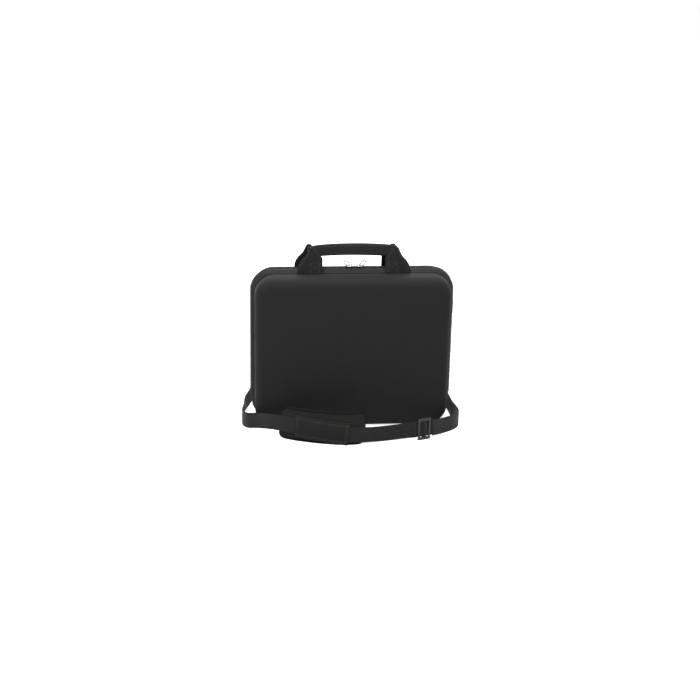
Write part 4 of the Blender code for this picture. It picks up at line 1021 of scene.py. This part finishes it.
def adjuster_axes():
    """The adjuster's middle and its directions along the strap, up and outwards."""
    low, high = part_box("strap_adjuster")
    middle = np.array((low + high) / 2)
    ahead = at(np.array([ADJUSTER_AT + 1 * MM]))[0][0] - at(np.array([ADJUSTER_AT - 1 * MM]))[0][0]
    ahead = unit(np.array([ahead[0], ahead[1], 0.0]))
    up = np.array([0.0, 0.0, 1.0])
    return middle, ahead, up, np.cross(ahead, up)


def weave_offset(along):
    """How far the strap stands off its line inside the adjuster: behind the end rails and over the bar."""
    bar = ADJUSTER_BAR / 2 + GAP + WEBBING_THICK / 2
    rail = ADJUSTER_LENGTH / 2 - ADJUSTER_RAIL / 2
    stops = [2.2 * MM, rail / 2 - 1 * MM, rail - 2 * MM, rail + 2.4 * MM, rail + 8 * MM, STRAIGHT_HALF]
    return np.interp(np.abs(along), stops, np.array([1, 0, -1, -1, -0.4, 0]) * bar, right=0.0)


def placed(distance, offset):
    """Places on the strap, straight where it runs through the adjuster, moved out by an offset."""
    place, over, out = at(distance)
    middle, ahead, up, face = adjuster_axes()
    along = distance - ADJUSTER_AT
    inside = (np.abs(along) <= STRAIGHT_HALF)[:, None]
    straight = middle + ahead * along[:, None]
    place = np.where(inside, straight, place)
    over = np.where(inside, up, over)
    out = np.where(inside, face, out)
    return place + out * np.broadcast_to(offset, distance.shape)[:, None], over, out


def band_mesh(place, over, out, width, thick):
    """A flat band with rounded selvedges: a high superellipse section carried along a line."""
    turn = full_turn(28)
    cos, sin = np.cos(turn), np.sin(turn)
    wide = width / 2 * bulge(cos, 0.3)
    tall = thick / 2 * bulge(sin, 0.35)
    points = place[:, None] + over[:, None] * wide[None, :, None] + out[:, None] * tall[None, :, None]
    along = run_lengths(place)
    uv = flat_grid(along, np.append(wide, wide[0]))
    return ringed(points, uv)


def eye_turn(side):
    """Half turn of webbing round an eye's bar, from its far side over the top to the case's side."""
    radius = HOOK_WIRE + GAP + WEBBING_THICK / 2
    turn = np.radians(np.linspace(0, 180, 13))
    out = np.stack([np.zeros(13), np.cos(turn), np.sin(turn)], 1)
    place = np.array([side * RING_X, BOW_Y, EYE_BAR_Z]) + radius * out
    return place, np.broadcast_to((float(side), 0.0, 0.0), (13, 3)), out


class CARRYCASE_OT_strap(bpy.types.Operator):
    """Build the shoulder strap in two runs, its return layer and its turns round the eyes"""
    bl_idname = "carry_case.strap"
    bl_label = "Shoulder Strap"

    def execute(self, context):
        webbing = finish(context, "strap_webbing")
        runs = {"left": np.linspace(0, PAD_AT, 260), "right": np.linspace(PAD_AT, LENGTH[-1], 420)}
        for hand, side in HANDS:
            distance = runs[hand]
            self.hang(f"strap_{hand}", distance, weave_offset(distance - ADJUSTER_AT), hand, webbing)
            turn_place, turn_over, turn_out = eye_turn(side)
            finished(f"strap_turn_{hand}", band_mesh(turn_place, turn_over, turn_out, WEBBING, WEBBING_THICK),
                     webbing, f"hook_eye_{hand}", sharp=60)
        self.return_layer(webbing)
        self.tail(webbing)
        return {"FINISHED"}

    def hang(self, name, distance, offset, hand, webbing):
        """One run of strap in three lengths, split where it hangs past two levels behind the case."""
        side = -1 if hand == "left" else 1
        place, over, out = placed(distance, offset)
        behind = place[:, 1] > BEHIND_Y
        near, far = (int(np.count_nonzero(behind & (place[:, 2] > level))) for level in HANG_LEVELS)
        count = len(distance)
        spans = ((near, count), (far, near + 1), (0, far + 1))
        for index, (first, last) in enumerate(spans):
            cut = slice(first, last) if side < 0 else slice(count - last, count - first)
            label = name + ("", "_hanging", "_end")[index]
            mesh = band_mesh(place[cut], over[cut], out[cut], WEBBING, WEBBING_THICK)
            stands_for = () if index else ("shoulder_strap",)
            piece = finished(label, mesh, webbing, None, stands_for, sharp=60)
            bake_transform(piece)

    def return_layer(self, webbing):
        """The second layer, on the case's side of the strap, from the adjuster's bar to the right eye."""
        distance = np.linspace(ADJUSTER_AT, LENGTH[-1] - 12 * MM, 330)
        near = smooth(np.clip(1 - (distance - ADJUSTER_AT - STRAIGHT_HALF) / (14 * MM), 0, 1))
        inward = WEBBING_THICK + GAP + 0.4 * MM
        offset = -(inward + near * (ADJUSTER_BAR / 2 + WEBBING_THICK / 2 + GAP))
        self.hang("strap_return", distance, offset, "right", webbing)

    def tail(self, webbing):
        """The sewn end at the left eye, a short straight run on the case's side."""
        place = spread(-RING_X, BOW_Y - HOOK_WIRE - GAP - WEBBING_THICK / 2,
                       np.linspace(EYE_BAR_Z - 26 * MM, EYE_BAR_Z, 14))
        over, out = (np.broadcast_to(way, place.shape) for way in ((-1.0, 0.0, 0.0), (0.0, -1.0, 0.0)))
        finished("strap_tail", band_mesh(place, over, out, WEBBING, WEBBING_THICK), webbing, "hook_eye_left",
                 sharp=60)


def pad_place(along, up, offset):
    """A point of the pad: it follows the strap's line, but stands on the floor."""
    place, _, out = at(PAD_AT + along)
    flat = unit(out * np.array([1, 1, 0]))
    moved = place + flat * np.asarray(offset)[..., None]
    return np.stack([moved[..., 0], moved[..., 1], np.broadcast_to(up, moved.shape[:-1]) + 0.3 * MM], -1)


class CARRYCASE_OT_pad(bpy.types.Operator):
    """Build the shoulder pad: a crowned lozenge with piping, and the sewn sleeve on it"""
    bl_idname = "carry_case.pad"
    bl_label = "Shoulder Pad"

    def execute(self, context):
        half, tall = PAD_LENGTH / 2, PAD_HEIGHT / 2
        front = -(WEBBING_THICK / 2 + GAP)
        share = -np.cos(np.linspace(0, np.pi, 70))[:, None] * PAD_END
        turn = full_turn(44)[None, :]
        height = self.half_height(share, half, tall - 1.0 * MM)
        thick = (PAD_THICK - 0.6 * MM) * (0.35 + 0.65 * (1 - np.abs(share) ** 6))
        cos, sin = np.cos(turn), np.sin(turn)
        up = tall + height * bulge(sin, 0.75)
        offset = front - 0.2 * MM - thick / 2 + thick / 2 * bulge(cos, 0.6)
        points = pad_place(share * half + self.slant(share, up - tall), up, offset)
        uv = spread(share * half, np.linspace(0, 2 * PAD_HEIGHT, 45)[None, :])
        pad = finished("cushion_pad", ringed(points, uv), finish(context, "pad_cloth"), "rear_half",
                       ("shoulder_pad",), sharp=60)
        self.piping(context, half, tall, front)
        self.sleeve(context)
        return {"FINISHED"}

    def half_height(self, share, half, tall):
        """Half the height of a rounded rectangle: full, then a quarter circle down at each end."""
        past = np.clip((np.abs(share) * half - half + PAD_CORNER) / PAD_CORNER, 0, 1)
        return tall - PAD_CORNER * (1 - np.sqrt(1 - past ** 2))

    def slant(self, share, above):
        """The left end leans: its foot lies further out than its top."""
        return 5 * MM * np.clip(-share, 0, 1) ** 3 * above / (PAD_HEIGHT / 2)

    def piping(self, context, half, tall, front):
        """A cord round the pad's front outline."""
        turn = full_turn(200)
        share = -np.cos(turn) * PAD_END
        height = self.half_height(share, half, tall - 1.5 * MM) * np.clip(np.sin(turn) * 6, -1, 1)
        along = share * half + self.slant(share, height)
        path = pad_place(along, tall + height, np.full(len(turn), front - 1.6 * MM))
        _, _, out = at(PAD_AT + along)
        finished("pad_piping", tube_mesh(path, PIPING, out, closed=True, sides=10),
                 finish(context, "binding_and_groove_shade"), "rear_half", sharp=60)

    def sleeve(self, context):
        """The panel over the strap: a low trapezoid section carried along, with hems and sewn lines."""
        half, inner = SLEEVE_HEIGHT / 2, WEBBING / 2 + 2.4 * MM
        lift, foot = WEBBING_THICK / 2 + GAP, -(WEBBING_THICK / 2) + 0.1 * MM
        under = [(-half, foot), (-inner, lift), (inner, lift), (half, foot)]
        wider = inner + 0.3 * MM
        section = np.array([*under, (half, foot + SLEEVE_THICK), (wider, lift + SLEEVE_THICK),
                            (-wider, lift + SLEEVE_THICK), (-half, foot + SLEEVE_THICK)])
        share = np.linspace(-0.5, 0.5, 60)
        hem = 0.35 * MM * (np.abs(share) > 0.455)
        place, over, out = at(PAD_AT + share * SLEEVE_LENGTH)
        rise = section[None, :, 1] + hem[:, None] * (np.arange(8) > 3)
        points = place[:, None] + over[:, None] * section[None, :, :1] + out[:, None] * rise[..., None]
        uv = flat_grid(share * SLEEVE_LENGTH, np.append(section[:, 0], section[0, 0]))
        finished("strap_sleeve", ringed(points, uv), finish(context, "pad_cloth"), "rear_half",
                 ("pad_sleeve",))
        lines = []
        top = lift + SLEEVE_THICK + 0.05 * MM
        for width in (inner - 0.5 * MM, inner - 3 * MM, -inner + 0.5 * MM, -inner + 3 * MM):
            lines.append((place + over * width + out * top, out))
        for end in (-0.47, -0.44, 0.44, 0.47):
            spot, way, face = (a[0] for a in at(np.array([PAD_AT + end * SLEEVE_LENGTH])))
            rise = np.linspace(-inner, inner, 12)[:, None]
            lines.append((spot + way * rise + face * (top + 0.35 * MM), face))
        stitches(context, "sleeve_stitches", lines, "rear_half")


class CARRYCASE_OT_adjuster(bpy.types.Operator):
    """Build the adjuster: a rounded frame and the bar across its middle"""
    bl_idname = "carry_case.adjuster"
    bl_label = "Adjuster"

    def execute(self, context):
        softened_copy("strap_adjuster", "slide_adjuster", 0.3 * MM, finish(context, "moulded_plastic"),
                      "adjuster")
        return {"FINISHED"}


# ---- stage ---------------------------------------------------------------------------------
CAMERA_AIM = (-1.6 * MM, 0.0, 144.7 * MM)
CAMERA_DISTANCE = 3.0
CAMERA_LEFT, CAMERA_UP, CAMERA_ROLL = math.radians(5.6), math.radians(20.5), math.radians(1.2)
CAMERA_LENS = 77.8
FLOOR_GREY, FLOOR_GLOW, SKY_LIGHT = 0.7, 0.80, 0.26
LAMPS = (("key_lamp", (-0.3, -0.75, 2.2), 92, 1.0), ("back_lamp", (0.2, 1.2, 2.0), 52, 1.4),
         ("front_lamp", (0.9, -2.4, 1.0), 5, 1.6))  # name, place, watts, size


def aimed(obj, place, target, roll=0.0):
    """Puts an object at a place with its -Z axis towards a target, rolled about that axis."""
    obj.location = place
    facing = (Vector(target) - Vector(place)).to_track_quat("-Z", "Y")
    obj.rotation_euler = (facing @ Quaternion((0, 0, 1), roll)).to_euler()


class CARRYCASE_OT_stage(bpy.types.Operator):
    """Set up the pale floor, the soft lamps and the camera"""
    bl_idname = "carry_case.stage"
    bl_label = "Stage"

    def execute(self, context):
        scene = context.scene
        scene.view_settings.view_transform = "Standard"
        self.floor(scene)
        self.world(scene)
        for name, place, power, size in LAMPS:
            lamp = bpy.data.objects.new(name, bpy.data.lights.new(name, "AREA"))
            lamp.data.energy = power
            lamp.data.size = size
            scene.collection.objects.link(lamp)
            aimed(lamp, place, (0, 0, 0.15))
        camera = bpy.data.objects.new("camera", bpy.data.cameras.new("camera"))
        camera.data.lens = CAMERA_LENS
        scene.collection.objects.link(camera)
        flat = CAMERA_DISTANCE * math.cos(CAMERA_UP)
        aimed(camera, (CAMERA_AIM[0] - flat * math.sin(CAMERA_LEFT), -flat * math.cos(CAMERA_LEFT),
                       CAMERA_AIM[2] + CAMERA_DISTANCE * math.sin(CAMERA_UP)), CAMERA_AIM, CAMERA_ROLL)
        scene.camera = camera
        return {"FINISHED"}

    def floor(self, scene):
        """A wide plane. A camera sees its lit colour over a constant pale one, so its shadow stays."""
        half = 12.0
        mesh = bpy.data.meshes.new("floor")
        mesh.from_pydata([(-half, -half, 0), (half, -half, 0), (half, half, 0), (-half, half, 0)], [],
                         [(0, 1, 2, 3)])
        floor = bpy.data.objects.new("floor", mesh)
        scene.collection.objects.link(floor)
        mat = bpy.data.materials.new("pale_floor")
        mat.use_nodes = True
        tree = mat.node_tree
        tree.nodes.clear()
        diffuse, glow, total, light, result = (tree.nodes.new(kind) for kind in (
            "ShaderNodeBsdfDiffuse", "ShaderNodeEmission", "ShaderNodeAddShader", "ShaderNodeLightPath",
            "ShaderNodeOutputMaterial"))
        diffuse.inputs["Color"].default_value = (FLOOR_GREY, FLOOR_GREY, FLOOR_GREY, 1)
        tree.links.new(maths(tree, "MULTIPLY", light.outputs["Is Camera Ray"], FLOOR_GLOW),
                       glow.inputs["Strength"])
        tree.links.new(diffuse.outputs[0], total.inputs[0])
        tree.links.new(glow.outputs[0], total.inputs[1])
        tree.links.new(total.outputs[0], result.inputs["Surface"])
        mesh.materials.append(mat)

    def world(self, scene):
        """A plain grey sky that cameras and mirrors see as white."""
        world = bpy.data.worlds.new("sky")
        world.use_nodes = True
        tree = world.node_tree
        light = tree.nodes.new("ShaderNodeLightPath")
        seen = maths(tree, "MAXIMUM", light.outputs["Is Camera Ray"], light.outputs["Is Glossy Ray"])
        tree.nodes["Background"].inputs["Color"].default_value = (1, 1, 1, 1)
        strength = maths(tree, "ADD", maths(tree, "MULTIPLY", seen, 1 - SKY_LIGHT), SKY_LIGHT)
        tree.links.new(strength, tree.nodes["Background"].inputs["Strength"])
        scene.world = world


# ---- panel and registration ----------------------------------------------------------------
PIECES = (CARRYCASE_OT_shells, CARRYCASE_OT_zip, CARRYCASE_OT_sliders, CARRYCASE_OT_handles,
          CARRYCASE_OT_foam, CARRYCASE_OT_hinge, CARRYCASE_OT_label, CARRYCASE_OT_rings, CARRYCASE_OT_hooks,
          CARRYCASE_OT_strap, CARRYCASE_OT_pad, CARRYCASE_OT_adjuster, CARRYCASE_OT_stage)


class CARRYCASE_PT_panel(bpy.types.Panel):
    """The case's pieces, sizes and colours"""
    bl_idname = "CARRYCASE_PT_panel"
    bl_label = "Carry Case"
    bl_space_type = "VIEW_3D"
    bl_region_type = "UI"
    bl_category = "Carry Case"

    def draw(self, context):
        for piece in PIECES:
            self.layout.operator(piece.bl_idname)
        for group in (context.scene.carry_case_sizes, context.scene.carry_case_colours):
            for name in group.bl_rna.properties.keys():
                if name not in ("rna_type", "name"):
                    self.layout.prop(group, name)


CLASSES = (CarryCaseSizes, CarryCaseColours, *PIECES, CARRYCASE_PT_panel)


def register():
    """Adds the classes and the two groups of settings."""
    for cls in CLASSES:
        bpy.utils.register_class(cls)
    bpy.types.Scene.carry_case_sizes = bpy.props.PointerProperty(type=CarryCaseSizes)
    bpy.types.Scene.carry_case_colours = bpy.props.PointerProperty(type=CarryCaseColours)


def unregister():
    """Takes the settings and the classes away again."""
    del bpy.types.Scene.carry_case_colours
    del bpy.types.Scene.carry_case_sizes
    for cls in reversed(CLASSES):
        bpy.utils.unregister_class(cls)


def main():
    """Builds every piece."""
    register()
    for piece in PIECES:
        group, action = piece.bl_idname.split(".")
        getattr(getattr(bpy.ops, group), action)()


if __name__ == "__main__":
    main()
